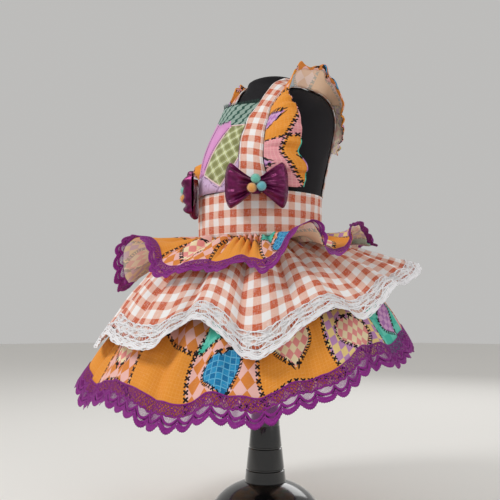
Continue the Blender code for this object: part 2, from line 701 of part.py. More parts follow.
def build():
    clear_scene()
    gingham = finish("gingham", (0.62, 0.33, 0.24), 0.85)
    printed = finish("printed cotton", (0.76, 0.36, 0.10), 0.85)
    purple = finish("purple lace", (0.21, 0.014, 0.23), 0.80)
    white = finish("white lace", (0.82, 0.80, 0.82), 0.80)
    satin = finish("plum satin", (0.09, 0.008, 0.07), 0.30)
    fabric = finish("black stockinette", (0.008, 0.007, 0.009), 0.90)
    gloss = finish("black lacquer", (0.006, 0.006, 0.006), 0.15)
    ivory = finish("ivory plastic", (0.78, 0.70, 0.55), 0.35)
    patches = {
        "patch_neck": finish("green print", (0.16, 0.36, 0.30), 0.85),
        "patch_front": finish("pink cotton", (0.67, 0.27, 0.57), 0.85),
        "patch_plaid": finish("green plaid", (0.36, 0.38, 0.13), 0.85),
        "patch_low_left": finish("lilac print left", (0.58, 0.39, 0.60), 0.85),
        "patch_low_right": finish("lilac print right", (0.58, 0.39, 0.60), 0.85),
    }
    felts = {
        "mint": finish("mint felt", (0.11, 0.54, 0.42), 0.95),
        "orange": finish("orange felt", (0.87, 0.40, 0.05), 0.95),
        "teal": finish("teal felt", (0.10, 0.48, 0.55), 0.95),
    }
    build_form(fabric, gloss)
    build_band(gingham, ivory)
    build_bib(gingham, patches)
    build_straps(gingham, printed)
    build_bows(satin, felts)
    build_tier(PEPLUM, printed, purple)
    build_tier(MIDDLE, gingham, white)
    build_tier(HEM, printed, purple)


build()
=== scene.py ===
"""Looks of a toddler's country festival dress, worn by a limbless child dress form on a stand.

Metres, +Z up. The front of the dress faces -Y and the wearer's left is +X. An azimuth is in
degrees: 0 is the front and 90 the wearer's left. Each piece of cloth is cut flat: its UV map is
its place on the flat cloth, in metres.
"""

import math
from collections import namedtuple
from functools import partial

import bmesh
import bpy
import numpy as np
from mathutils import Matrix, Vector, noise


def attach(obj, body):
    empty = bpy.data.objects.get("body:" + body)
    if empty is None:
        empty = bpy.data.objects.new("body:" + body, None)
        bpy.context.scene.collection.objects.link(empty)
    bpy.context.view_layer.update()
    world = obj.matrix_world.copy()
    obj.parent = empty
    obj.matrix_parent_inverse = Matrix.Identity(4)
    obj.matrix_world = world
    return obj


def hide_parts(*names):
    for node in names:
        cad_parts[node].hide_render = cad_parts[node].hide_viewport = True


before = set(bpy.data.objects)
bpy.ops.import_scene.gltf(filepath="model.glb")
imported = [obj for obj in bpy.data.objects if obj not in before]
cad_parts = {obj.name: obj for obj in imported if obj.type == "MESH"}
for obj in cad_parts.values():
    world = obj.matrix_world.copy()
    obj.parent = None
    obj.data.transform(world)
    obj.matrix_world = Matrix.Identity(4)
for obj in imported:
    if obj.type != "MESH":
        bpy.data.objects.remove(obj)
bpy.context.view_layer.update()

# Camera, floor and light: a plain pale floor and soft studio light, seen at the photograph's
# height and angle, one metre from the stand's axis on the wearer's left front.
CAMERA_TURN = math.radians(45)
CAMERA_HEIGHT = 0.275
CAMERA_RISE = math.radians(4.4)
FOCAL_PIXELS = 745
PHOTO_PIXELS = 500
SENSOR_WIDTH = 36
FLOOR_RADIUS = 5.0
AXIS_SIDE_PIXELS = 15


def ink(red, green, blue):
    """A colour as linear light, from its values on a screen, 0 to 255."""
    values = []
    for value in (red, green, blue):
        share = value / 255
        values.append(share / 12.92 if share < 0.04045 else ((share + 0.055) / 1.055) ** 2.4)
    return (*values, 1.0)


def finish(name, colour, roughness, **sockets):
    """A new material and its shader, with the shader's plain values set."""
    material = bpy.data.materials.new(name)
    material.use_nodes = True
    shader = material.node_tree.nodes["Principled BSDF"]
    shader.inputs["Base Color"].default_value = colour
    shader.inputs["Roughness"].default_value = roughness
    for key, value in sockets.items():
        shader.inputs[key.replace("_", " ")].default_value = value
    return material, shader


camera_data = bpy.data.cameras.new("camera")
camera_data.sensor_width = SENSOR_WIDTH
camera_data.lens = FOCAL_PIXELS / PHOTO_PIXELS * SENSOR_WIDTH
camera = bpy.data.objects.new("camera", camera_data)
camera.location = (math.sin(CAMERA_TURN), -math.cos(CAMERA_TURN), CAMERA_HEIGHT)
camera.rotation_euler = (math.radians(90) + CAMERA_RISE, 0,
                         CAMERA_TURN + math.atan(AXIS_SIDE_PIXELS / FOCAL_PIXELS))
bpy.context.scene.collection.objects.link(camera)
bpy.context.scene.camera = camera

bpy.context.scene.view_settings.view_transform = "Standard"
pale_floor = finish("pale floor", ink(236, 234, 230), 0.85)[0]
shape = bmesh.new()
bmesh.ops.create_circle(shape, cap_ends=True, segments=64, radius=FLOOR_RADIUS)
mesh = bpy.data.meshes.new("floor")
shape.to_mesh(mesh)
shape.free()
mesh.materials.append(pale_floor)
floor = bpy.data.objects.new("floor", mesh)
bpy.context.scene.collection.objects.link(floor)

world = bpy.data.worlds.new("studio")
world.use_nodes = True
world.node_tree.nodes["Background"].inputs["Color"].default_value = (0.98, 0.97, 0.95, 1.0)
world.node_tree.nodes["Background"].inputs["Strength"].default_value = 0.52
bpy.context.scene.world = world

LAMP_AIM = Vector((0, 0, 0.33))
Lamp = namedtuple("Lamp", "name x y z size watts")
for lamp in (Lamp("key", -0.45, -1.45, 1.50, 0.6, 17.5), Lamp("window", 1.6, 0.35, 0.85, 0.7, 5.0),
             Lamp("back", -0.6, 1.5, 1.2, 1.0, 7.0)):
    light = bpy.data.lights.new(lamp.name, "AREA")
    light.size = lamp.size
    light.energy = lamp.watts
    item = bpy.data.objects.new(lamp.name, light)
    item.location = (lamp.x, lamp.y, lamp.z)
    item.rotation_euler = (LAMP_AIM - item.location).to_track_quat("-Z", "Y").to_euler()
    bpy.context.scene.collection.objects.link(item)


# Dress form: a padded torso without limbs, covered in black stockinette drawn tight over it, with
# a short neck. The sections are rounded boxes, at the same sizes as the part's own solid.
ROUNDNESS = 2.3
FormRow = namedtuple("FormRow", "height half_x half_y middle_y")
FORM_ROWS = [
    FormRow(0.288, 0.0400, 0.0380, -0.0100),
    FormRow(0.293, 0.0580, 0.0555, -0.0100),
    FormRow(0.307, 0.0710, 0.0680, -0.0100),
    FormRow(0.335, 0.0760, 0.0730, -0.0100),
    FormRow(0.365, 0.0772, 0.0745, -0.0100),
    FormRow(0.400, 0.0775, 0.0753, -0.0096),
    FormRow(0.420, 0.0777, 0.0756, -0.0086),
    FormRow(0.450, 0.0790, 0.0760, -0.0020),
    FormRow(0.475, 0.0805, 0.0745, 0.0060),
    FormRow(0.497, 0.0815, 0.0715, 0.0145),
    FormRow(0.518, 0.0815, 0.0670, 0.0225),
    FormRow(0.534, 0.0800, 0.0620, 0.0260),
    FormRow(0.548, 0.0745, 0.0550, 0.0265),
    FormRow(0.559, 0.0640, 0.0475, 0.0245),
    FormRow(0.567, 0.0500, 0.0410, 0.0210),
    FormRow(0.573, 0.0385, 0.0365, 0.0185),
    FormRow(0.579, 0.0352, 0.0345, 0.0180),
    FormRow(0.586, 0.0345, 0.0340, 0.0180),
]
FORM_HEART = (0.014, 0.475)


def curve(rows, column, at, period=None):
    """One column of a table at places between its rows, on a smooth curve through them."""
    places = np.array([row[0] for row in rows], float)
    values = np.array([row[column] for row in rows], float)
    at = np.asarray(at, float)
    if period:
        places = np.concatenate((places[-2:] - period, places, places[:2] + period))
        values = np.concatenate((values[-2:], values, values[:2]))
        at = (at - places[2]) % period + places[2]
    slopes = np.empty_like(values)
    slopes[1:-1] = (values[2:] - values[:-2]) / (places[2:] - places[:-2])
    slopes[0] = (values[1] - values[0]) / (places[1] - places[0])
    slopes[-1] = (values[-1] - values[-2]) / (places[-1] - places[-2])
    index = np.clip(np.searchsorted(places, at, side="right") - 1, 0, len(places) - 2)
    span = places[index + 1] - places[index]
    share = np.clip((at - places[index]) / span, 0.0, 1.0)
    square = share * share
    cube = square * share
    return ((2 * cube - 3 * square + 1) * values[index]
            + (cube - 2 * square + share) * span * slopes[index]
            + (3 * square - 2 * cube) * values[index + 1]
            + (cube - square) * span * slopes[index + 1])


def form_section(height, out=0.0):
    """Half width, half depth and middle of the form at heights, grown by a clearance."""
    return (curve(FORM_ROWS, 1, height) + out, curve(FORM_ROWS, 2, height) + out,
            curve(FORM_ROWS, 3, height))


def round_point(azimuth, height, out=0.0):
    """Points of the form's sections at heights and azimuths."""
    half_x, half_y, middle = form_section(height, out)
    angle = np.radians(azimuth)
    side = np.sign(np.sin(angle)) * np.abs(np.sin(angle)) ** (2 / ROUNDNESS)
    front = np.sign(np.cos(angle)) * np.abs(np.cos(angle)) ** (2 / ROUNDNESS)
    height = np.broadcast_to(height, side.shape)
    return np.stack((half_x * side, middle - half_y * front, height), axis=-1)


class Surface:
    """The outer face of a piece as a fine net of points, by shares across it and down it."""

    def __init__(self, place, columns, rows, closed=False, row=1.0):
        across, down = np.meshgrid(np.linspace(0, 1, columns + 1), np.linspace(0, 1, rows + 1))
        self.points = place(across, down)
        along = np.gradient(self.points, axis=1)
        away = np.gradient(self.points, axis=0)
        if closed:
            along[:, 0] = along[:, -1] = along[:, 0] + along[:, -1]
        normals = np.cross(away, along)
        self.normals = normals / np.maximum(np.linalg.norm(normals, axis=-1, keepdims=True), 1e-12)
        line = self.points[round(row * rows)]
        steps = np.linalg.norm(np.diff(line, axis=0), axis=-1)
        self.reach = np.concatenate(([0.0], np.cumsum(steps)))
        self.edge = float(np.linalg.norm(np.diff(self.points[-1], axis=0), axis=-1).sum())
        steps = np.linalg.norm(np.diff(self.points, axis=0), axis=-1).mean(axis=1)
        self.depth = np.concatenate(([0.0], np.cumsum(steps)))
        self.width, self.length = float(self.reach[-1]), float(self.depth[-1])

    def at(self, across, down, out=0.0):
        """Points at shares across and down, moved out from the face."""
        rows, columns = self.points.shape[0] - 1, self.points.shape[1] - 1
        x = np.clip(across, 0.0, 1.0) * columns
        y = np.clip(down, 0.0, 1.0) * rows
        column = np.minimum(x.astype(int), columns - 1)
        row = np.minimum(y.astype(int), rows - 1)
        x = (x - column)[..., None]
        y = (y - row)[..., None]
        found = []
        for net in (self.points, self.normals):
            upper = net[row, column] * (1 - x) + net[row, column + 1] * x
            lower = net[row + 1, column] * (1 - x) + net[row + 1, column + 1] * x
            found.append(upper * (1 - y) + lower * y)
        return found[0] + found[1] * np.asarray(out)[..., None]

    def flat(self, across, down):
        """The place on the flat cloth, in metres, with its origin at the lower edge."""
        u = np.interp(across, np.linspace(0, 1, len(self.reach)), self.reach)
        v = np.interp(down, np.linspace(0, 1, len(self.depth)), self.depth)
        return u, self.length - v

    def share_across(self, metres):
        """Shares across at lengths along the lower edge."""
        return np.interp(metres * self.width / self.edge, self.reach,
                         np.linspace(0, 1, len(self.reach)))


def add_piece(name, shape, materials, slot, replaced=()):
    """Makes an object of a bmesh and ties it to the frame."""
    mesh = bpy.data.meshes.new(name)
    shape.to_mesh(mesh)
    shape.free()
    mesh.shade_smooth()
    for material in materials:
        mesh.materials.append(material)
    item = bpy.data.objects.new(name, mesh)
    bpy.context.scene.collection.objects.link(item)
    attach(item, "root")
    if replaced:
        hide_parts(*replaced)
    return item


def set_flat(shape, u, v, origin=(0.0, 0.0)):
    """Writes the UV map of a bmesh, from each point's place on the flat cloth."""
    layer = shape.loops.layers.uv.new("flat")
    for face in shape.faces:
        for loop in face.loops:
            k = loop.vert.index
            loop[layer].uv = (origin[0] + u[k], origin[1] + v[k])


def cloth_grid(surface, steps, place, low=1.0, origin=(0.0, 0.0)):
    """A flat grid with its UV map, each point then put where place says."""
    shape = bmesh.new()
    bmesh.ops.create_grid(shape, x_segments=steps[0], y_segments=steps[1], size=0.5)
    across = np.array([vertex.co.x + 0.5 for vertex in shape.verts])
    down = np.array([0.5 - vertex.co.y for vertex in shape.verts]) * low
    set_flat(shape, *surface.flat(across, down), origin)
    for vertex, point in zip(shape.verts, place(across, down)):
        vertex.co = point
    return shape


def thicken(item, thickness, offset=-1.0):
    """Gives a cloth its thickness, behind its outer face or on both sides of it."""
    solidify = item.modifiers.new("Wall", "SOLIDIFY")
    solidify.thickness = thickness
    solidify.offset = offset
    return solidify


def sewn_cloth(name, surface, steps, materials, slot, replaced=(), wall=0.0007, out=0.0,
               closed=False, low=1.0, origin=(0.0, 0.0)):
    """A cloth of a surface, given its wall.

    The second material, where there is one, is the cloth's wrong side. low is the share down the
    surface at which the cloth ends, and origin the place on the bolt where the piece is cut.
    """
    shape = cloth_grid(surface, steps, lambda across, down: surface.at(across, down, out), low,
                       origin)
    if closed:
        bmesh.ops.remove_doubles(shape, verts=shape.verts[:], dist=0.00005)
    item = add_piece(name, shape, materials, slot, replaced)
    thicken(item, wall).material_offset = len(materials) - 1
    return item


def fed_node(kind, values, inputs=(0, 1, 2)):
    """A node fed with plain values or with sockets. Its tree is that of the first socket."""
    tree = next(value.id_data for value in values if isinstance(value, bpy.types.NodeSocket))
    node = tree.nodes.new(kind)
    if kind == "ShaderNodeMix":
        node.data_type = "RGBA"
    for k, value in zip(inputs, values):
        if isinstance(value, bpy.types.NodeSocket):
            tree.links.new(value, node.inputs[k])
        else:
            node.inputs[k].default_value = value
    return node


def maths(operation, *values):
    """A Math node's outcome."""
    node = fed_node("ShaderNodeMath", values)
    node.operation = operation
    return node.outputs[0]


times, times_plus, plus, minus, divided = (
    partial(maths, operation)
    for operation in ("MULTIPLY", "MULTIPLY_ADD", "ADD", "SUBTRACT", "DIVIDE"))
most, least, absolute, sine, pingpong, above, below = (
    partial(maths, operation)
    for operation in ("MAXIMUM", "MINIMUM", "ABSOLUTE", "SINE", "PINGPONG", "GREATER_THAN",
                      "LESS_THAN"))


def clamp(value):
    """A value kept between 0 and 1."""
    return most(least(value, 1.0), 0.0)


def tint(share, first, second):
    """The first colour turning to the second as the share goes from 0 to 1."""
    return fed_node("ShaderNodeMix", (share, first, second), (0, 6, 7)).outputs[2]


def lumps(shader, scale, detail=2.0, where="Object", stretch=(1, 1, 1)):
    """Soft noise, 0 to 1, at a number of lumps a metre."""
    tree = shader.id_data
    source = tree.nodes.new("ShaderNodeTexCoord")
    mapping = tree.nodes.new("ShaderNodeMapping")
    mapping.inputs["Scale"].default_value = stretch
    texture = tree.nodes.new("ShaderNodeTexNoise")
    texture.inputs["Scale"].default_value = scale
    texture.inputs["Detail"].default_value = detail
    tree.links.new(source.outputs[where], mapping.inputs["Vector"])
    tree.links.new(mapping.outputs["Vector"], texture.inputs["Vector"])
    return texture.outputs["Fac"]


def flat_place(shader):
    """The two sockets of a cloth's own flat place, in metres."""
    tree = shader.id_data
    source = tree.nodes.new("ShaderNodeTexCoord")
    split = tree.nodes.new("ShaderNodeSeparateXYZ")
    tree.links.new(source.outputs["UV"], split.inputs[0])
    return split.outputs[0], split.outputs[1]


def link(shader, value, socket="Base Color"):
    """Feeds a socket's value to the shader, as its colour unless another input is named."""
    shader.id_data.links.new(value, shader.inputs[socket])


def relief(shader, height, depth, strength=1.0):
    """Raises a surface's look by a height, 0 to 1, times a depth in metres."""
    tree = shader.id_data
    bump = tree.nodes.new("ShaderNodeBump")
    bump.inputs["Strength"].default_value = strength
    bump.inputs["Distance"].default_value = depth
    tree.links.new(height, bump.inputs["Height"])
    link(shader, bump.outputs["Normal"], "Normal")


def weave(u, v, pitch):
    """The height of a plain weave's threads, 0 to 1."""
    over = sine(times(u, 2 * math.pi / pitch))
    under = sine(times(v, 2 * math.pi / pitch))
    return times_plus(times(over, under), 0.5, 0.5)


STITCH_WIDTH = 0.0013
STITCH_HEIGHT = 0.001
stockinette, shader = finish("black stockinette", ink(24, 22, 27), 0.9, Sheen_Weight=0.05,
                             Sheen_Roughness=0.5, Specular_IOR_Level=0.2)
u, v = flat_place(shader)
ribs = absolute(sine(times(u, math.pi / STITCH_WIDTH)))
loops = absolute(sine(times(v, math.pi / STITCH_HEIGHT)))
relief(shader, times(ribs, loops), 0.0003)
link(shader, tint(lumps(shader, 40), ink(17, 15, 19), ink(31, 29, 34)))

TORSO_CAPS = ((0.0, 0.0, 0.586), (0.02, 0.70, 0.5858), (0.035, 0.92, 0.5845), (0.05, 1.0, 0.5815),
              (0.95, 1.0, 0.293), (0.975, 0.9, 0.289), (1.0, 0.0, 0.288))


def torso_place(across, down):
    """The torso's skin: the form's sections, drawn in to a point at the neck and below."""
    shares, sizes, heights = zip(*TORSO_CAPS)
    height = np.interp(down, shares, heights)
    grown = np.interp(down, shares, sizes)
    points = round_point(180 + 360 * across, height)
    middle = np.stack((0 * height, form_section(height)[2], height), axis=-1)
    return middle + (points - middle) * grown[..., None]


torso = Surface(torso_place, 144, 160, closed=True, row=0.5)
shape = cloth_grid(torso, (96, 90), torso_place)
bmesh.ops.remove_doubles(shape, verts=shape.verts[:], dist=0.0001)
add_piece("dress_form_torso", shape, [stockinette], "black_stockinette", ("form_torso",))


# Stand: a turned pole in telescoping lengths on a round, domed and weighted base, all in glossy
# black lacquered plastic. Each length steps in from the one below it, with a groove between.
lacquer, shader = finish("black lacquer", ink(14, 14, 16), 0.16, Coat_Weight=0.6,
                         Coat_Roughness=0.08)
link(shader, times_plus(lumps(shader, 60, 3), 0.14, 0.10), "Roughness")

BASE_RADIUS = 0.0720
BASE_EDGE = 0.0040
DOME_RISE = 0.0470
POLE_FOOT = 0.0480
POLE_PROFILE = [(0.0, 0.2876), (0.0150, 0.2876), (0.0152, 0.230), (0.0165, 0.180),
                (0.0178, 0.146), (0.0190, 0.1216), (0.0187, 0.1206), (0.0190, 0.1196),
                (0.0216, 0.0934), (0.0207, 0.0926), (0.0207, 0.0914), (0.0222, 0.0904),
                (0.0248, 0.0654), (0.0238, 0.0646), (0.0238, 0.0634), (0.0254, 0.0624),
                (0.0268, POLE_FOOT + 0.0012), (0.0270, POLE_FOOT), (0.0, POLE_FOOT)]


def turned(shape, profile, sides):
    """Turns a profile of radius and height round an upright axis."""
    verts = [shape.verts.new((radius, 0.0, height)) for radius, height in profile]
    edges = [shape.edges.new(pair) for pair in zip(verts, verts[1:])]
    bmesh.ops.spin(shape, geom=verts + edges, cent=(0, 0, 0), axis=(0, 0, 1), steps=sides,
                   angle=2 * math.pi, use_merge=True)
    bmesh.ops.remove_doubles(shape, verts=shape.verts[:], dist=0.00002)
    bmesh.ops.recalc_face_normals(shape, faces=shape.faces[:])


shape = bmesh.new()
turned(shape, POLE_PROFILE, 64)
pole = add_piece("stand_pole", shape, [lacquer], "black_lacquer", ("form_pole",))
pole.data.set_sharp_from_angle(angle=math.radians(38))
shape = bmesh.new()
profile = [(0.0, 0.0), (BASE_RADIUS - 0.0016, 0.0), (BASE_RADIUS - 0.0004, 0.0005),
           (BASE_RADIUS, 0.0016)]
for k in range(25):
    turn = math.radians(90 * k / 24)
    profile.append((BASE_RADIUS * math.cos(turn), min(BASE_EDGE + DOME_RISE * math.sin(turn),
                                                      POLE_FOOT)))
turned(shape, profile, 96)
add_piece("stand_base", shape, [lacquer], "black_lacquer", ("form_base",))


# Gathered tiers: three lengths of cotton, each gathered to the band's lower edge and standing out
# over the one below. The folds are set one by one, at the same sizes as the part's own solids,
# with the finer gathers, flutes and creases added over them.
BAND_TOP = 0.420
BAND_BOTTOM = 0.363
Fold = namedtuple("Fold", "azimuth swing radius height fall")
PEPLUM_FOLDS = [
    Fold(-60, 2, 0.190, 0.3040, 1.8),
    Fold(-44, 0, 0.200, 0.2990, 2.0),
    Fold(-34, -2, 0.198, 0.3530, 1.8),
    Fold(-26, 0, 0.176, 0.3670, 1.5),
    Fold(-16, 3, 0.171, 0.3450, 1.5),
    Fold(-4, 1, 0.180, 0.3100, 1.5),
    Fold(8, 1, 0.167, 0.3130, 1.5),
    Fold(15, 0, 0.155, 0.3190, 1.5),
    Fold(24, 0, 0.161, 0.3130, 1.5),
    Fold(34, 1, 0.155, 0.3245, 1.5),
    Fold(43, 1, 0.171, 0.3110, 1.5),
    Fold(50, 1, 0.164, 0.3280, 1.5),
    Fold(57, 3, 0.155, 0.3650, 1.5),
    Fold(63, 6, 0.150, 0.3755, 1.5),
    Fold(68, 5, 0.155, 0.3620, 1.5),
    Fold(73, -2, 0.161, 0.3500, 1.5),
    Fold(78, -9, 0.166, 0.3390, 1.5),
    Fold(83, -11, 0.175, 0.3330, 1.5),
    Fold(88, -12, 0.178, 0.3360, 1.5),
    Fold(94, -13, 0.171, 0.3530, 1.5),
    Fold(100, -15, 0.156, 0.3720, 1.5),
    Fold(108, -14, 0.149, 0.3780, 1.5),
    Fold(117, -9, 0.145, 0.3740, 1.5),
    Fold(127, -5, 0.144, 0.3600, 1.5),
    Fold(140, -2, 0.152, 0.3560, 1.5),
    Fold(152, 0, 0.152, 0.3760, 1.5),
    Fold(165, 0, 0.158, 0.3570, 1.5),
    Fold(178, 0, 0.150, 0.3780, 1.5),
    Fold(192, 0, 0.160, 0.3550, 1.5),
    Fold(206, 0, 0.152, 0.3750, 1.5),
    Fold(220, 0, 0.165, 0.3460, 1.5),
    Fold(233, 0, 0.158, 0.3680, 1.5),
    Fold(247, 0, 0.173, 0.3320, 1.5),
    Fold(260, 0, 0.166, 0.3580, 1.5),
    Fold(273, 0, 0.181, 0.3170, 1.5),
    Fold(286, 0, 0.174, 0.3480, 1.5),
]
MIDDLE_FOLDS = [
    Fold(-52, 0, 0.205, 0.2440, 1.7),
    Fold(-35, 0, 0.222, 0.2220, 1.7),
    Fold(-20, 0, 0.212, 0.2390, 1.7),
    Fold(-9, 1, 0.217, 0.2330, 1.5),
    Fold(6, 2, 0.216, 0.2280, 1.5),
    Fold(17, 0, 0.188, 0.2590, 1.5),
    Fold(28, -1, 0.195, 0.2540, 1.5),
    Fold(42, 0, 0.217, 0.2200, 1.5),
    Fold(56, 0, 0.201, 0.2510, 1.5),
    Fold(68, 0, 0.199, 0.2740, 1.5),
    Fold(77, 0, 0.210, 0.2630, 1.5),
    Fold(92, 0, 0.204, 0.2960, 1.5),
    Fold(107, 0, 0.208, 0.3110, 1.5),
    Fold(123, 0, 0.203, 0.3270, 1.6),
    Fold(138, 0, 0.192, 0.3280, 1.6),
    Fold(154, 0, 0.206, 0.3080, 1.6),
    Fold(171, 0, 0.190, 0.3290, 1.6),
    Fold(188, 0, 0.207, 0.3050, 1.6),
    Fold(205, 0, 0.190, 0.3230, 1.6),
    Fold(222, 0, 0.210, 0.2960, 1.6),
    Fold(240, 0, 0.195, 0.3000, 1.6),
    Fold(257, 0, 0.213, 0.2670, 1.7),
    Fold(274, 0, 0.197, 0.2760, 1.7),
    Fold(291, 0, 0.216, 0.2420, 1.7),
]
HEM_FOLDS = [
    Fold(-57, 0, 0.243, 0.1820, 1.35),
    Fold(-44, 0, 0.250, 0.1740, 1.35),
    Fold(-26, 0, 0.238, 0.1490, 1.35),
    Fold(-10, 0, 0.234, 0.1620, 1.35),
    Fold(4, 0, 0.236, 0.1540, 1.35),
    Fold(18, 0, 0.238, 0.1410, 1.35),
    Fold(30, 0, 0.228, 0.1540, 1.35),
    Fold(42, 0, 0.237, 0.1500, 1.35),
    Fold(55, 0, 0.228, 0.1680, 1.35),
    Fold(66, 0, 0.232, 0.1810, 1.5),
    Fold(78, 0, 0.216, 0.2050, 1.65),
    Fold(92, 0, 0.213, 0.2070, 1.65),
    Fold(108, 0, 0.199, 0.2220, 1.65),
    Fold(124, 0, 0.192, 0.2160, 1.65),
    Fold(141, 0, 0.200, 0.2260, 1.65),
    Fold(158, 0, 0.200, 0.2160, 1.65),
    Fold(176, 0, 0.210, 0.2280, 1.65),
    Fold(194, 0, 0.203, 0.2150, 1.65),
    Fold(212, 0, 0.212, 0.2200, 1.65),
    Fold(230, 0, 0.208, 0.2030, 1.65),
    Fold(248, 0, 0.222, 0.2060, 1.4),
    Fold(266, 0, 0.219, 0.1870, 1.4),
    Fold(285, 0, 0.238, 0.1900, 1.4),
]
# Creases: where each runs at the seam and at the edge, and how deep it lies.
Crease = namedtuple("Crease", "top edge depth")
PEPLUM_CREASES = [Crease(-20, -24, 0.003), Crease(2, 3, 0.004), Crease(19, 18, 0.004),
                  Crease(38, 35, 0.004), Crease(52, 53, 0.004), Crease(118, 116, 0.003),
                  Crease(150, 147, 0.004), Crease(178, 181, 0.003), Crease(205, 208, 0.004),
                  Crease(232, 229, 0.003), Crease(259, 262, 0.004), Crease(285, 282, 0.003)]
MIDDLE_CREASES = [Crease(-42, -46, 0.006), Crease(-24, -27, 0.007), Crease(-5, -7, 0.006),
                  Crease(11, 15, 0.008), Crease(33, 38, 0.009), Crease(52, 58, 0.009),
                  Crease(66, 72, 0.007), Crease(80, 84, 0.008), Crease(95, 98, 0.006),
                  Crease(111, 114, 0.007), Crease(131, 130, 0.007), Crease(147, 149, 0.006),
                  Crease(163, 166, 0.007), Crease(184, 182, 0.006), Crease(198, 200, 0.007),
                  Crease(217, 215, 0.006), Crease(233, 236, 0.007), Crease(252, 250, 0.006),
                  Crease(268, 270, 0.007), Crease(287, 284, 0.006), Crease(302, 304, 0.006)]
HEM_CREASES = [Crease(-50, -53, 0.006), Crease(-33, -35, 0.005), Crease(-12, -9, 0.006),
               Crease(6, 12, 0.006), Crease(19, 24, 0.007), Crease(40, 45, 0.005),
               Crease(60, 64, 0.006), Crease(74, 71, 0.005), Crease(89, 92, 0.006),
               Crease(104, 101, 0.005), Crease(119, 123, 0.006), Crease(137, 135, 0.006),
               Crease(151, 154, 0.005), Crease(170, 168, 0.006), Crease(187, 190, 0.006),
               Crease(205, 203, 0.005), Crease(222, 225, 0.006), Crease(241, 238, 0.006),
               Crease(258, 261, 0.005), Crease(276, 273, 0.006), Crease(293, 296, 0.005)]
CREASE_WIDTH = 3.9
CREASE_GAIN = 1.45
GATHERS = 23
GATHER_FADE = 0.17
SAG_SPAN = 0.62
CRUMPLES = ((34.0, 0.0026), (95.0, 0.0009))

SEAM_OUT = 0.0016
Tier = namedtuple("Tier", "name seam_drop cloth_end lace_start puff flute sag seed folds creases")
PEPLUM = Tier("peplum", 0.0007, 0.878, 0.78, 0.0102, 0.0017, 0.0, 3.0, PEPLUM_FOLDS,
              PEPLUM_CREASES)
MIDDLE = Tier("middle", 0.0028, 0.945, 0.85, 0.0022, 0.0022, 0.0, 11.0, MIDDLE_FOLDS,
              MIDDLE_CREASES)
HEM = Tier("bottom", 0.0049, 0.936, 0.885, 0.0018, 0.0030, 0.0085, 23.0, HEM_FOLDS, HEM_CREASES)


def waves(azimuth, counts, seed):
    """Uneven waves round the waist, -1 to 1, from a few counts that repeat in a whole turn."""
    total = 0.0
    for k, count in enumerate(counts):
        total = total + np.sin(np.radians(azimuth) * count + seed * (k + 1.3)) / (k + 1.0)
    return total / sum(1.0 / (k + 1.0) for k in range(len(counts)))


def tier_place(tier):
    """The outer face of a gathered tier, from the centre back round the front.

    The folds give its line; over them lie the gathers at the seam, the flutes, the creases, the
    sag between seam and edge, and the cotton's crumple.
    """
    def place(across, down):
        azimuth = 180.0 + 360.0 * across
        seam_height = BAND_BOTTOM - tier.seam_drop
        seam = round_point(azimuth, np.full_like(azimuth, seam_height), SEAM_OUT)
        swing, radius, height, fall = (curve(tier.folds, column, azimuth, 360)
                                       for column in (1, 2, 3, 4))
        angle = np.radians(azimuth)
        edge = np.stack((radius * np.sin(angle), -radius * np.cos(angle), height), axis=-1)
        points = seam + (edge - seam) * down[..., None]
        turn = np.radians(swing) * down ** 3
        x, y = points[..., 0].copy(), points[..., 1].copy()
        points[..., 0] = x * np.cos(turn) - y * np.sin(turn)
        points[..., 1] = x * np.sin(turn) + y * np.cos(turn)
        points[..., 2] = seam_height + (height - seam_height) * down ** fall
        start = np.minimum(down / 0.05, 1.0)
        wander = 1.4 * np.sin(angle * 5 + tier.seed) + 0.8 * np.sin(angle * 11 + tier.seed * 2)
        puff = np.abs(np.sin(angle * GATHERS + wander + 0.5 * down)) ** 0.7 - 0.62
        puff = puff * (1 + 0.35 * np.sin(angle * 17 + tier.seed)) * tier.puff * start
        puff = puff * np.exp(-np.maximum(down - 0.10, 0.0) ** 2 / GATHER_FADE)
        flute = waves(azimuth, (31, 47, 19), tier.seed + 5) * tier.flute * down ** 1.2
        fade = np.minimum(down / 0.14, 1.0) * (1 - 0.8 * np.clip((down - 0.5) / 0.5, 0, 1) ** 1.5)
        sink = 0.0
        for crease in tier.creases:
            runs = crease.top + (crease.edge - crease.top) * down
            away = (azimuth - runs + 180) % 360 - 180
            sink = sink + (CREASE_GAIN * crease.depth
                           * np.exp(-np.abs(away / CREASE_WIDTH) ** 1.3))
        lift = puff + flute + 0.0009 * start - sink * fade
        lift = lift - tier.sag * np.sin(math.pi * np.clip(down / SAG_SPAN, 0, 1)) ** 1.5
        points[..., 0] += lift * np.sin(angle) * (0.35 + 0.4 * down)
        points[..., 1] -= lift * np.cos(angle) * (0.35 + 0.4 * down)
        points[..., 2] += lift * (1.0 - 0.35 * down)
        shift = Vector((tier.seed, 0, 0))
        listed = points.reshape(-1, 3).tolist()
        crumple = 0.0
        for count, depth in CRUMPLES:
            heights = [noise.noise(Vector(point) * count + shift) * depth for point in listed]
            crumple = crumple + np.array(heights).reshape(azimuth.shape)
        points[..., 2] += crumple * start * down ** 0.6
        return points
    return place


peplum_face = Surface(tier_place(PEPLUM), 1080, 40, closed=True, row=0.78)
middle_face = Surface(tier_place(MIDDLE), 1080, 54, closed=True, row=0.66)
hem_face = Surface(tier_place(HEM), 1080, 60, closed=True, row=0.72)


GINGHAM_PITCH = 0.0192
GINGHAM_WEAVE = 0.0011
STRIPE_EDGE = 26.0
SLUB_MOST = 0.26


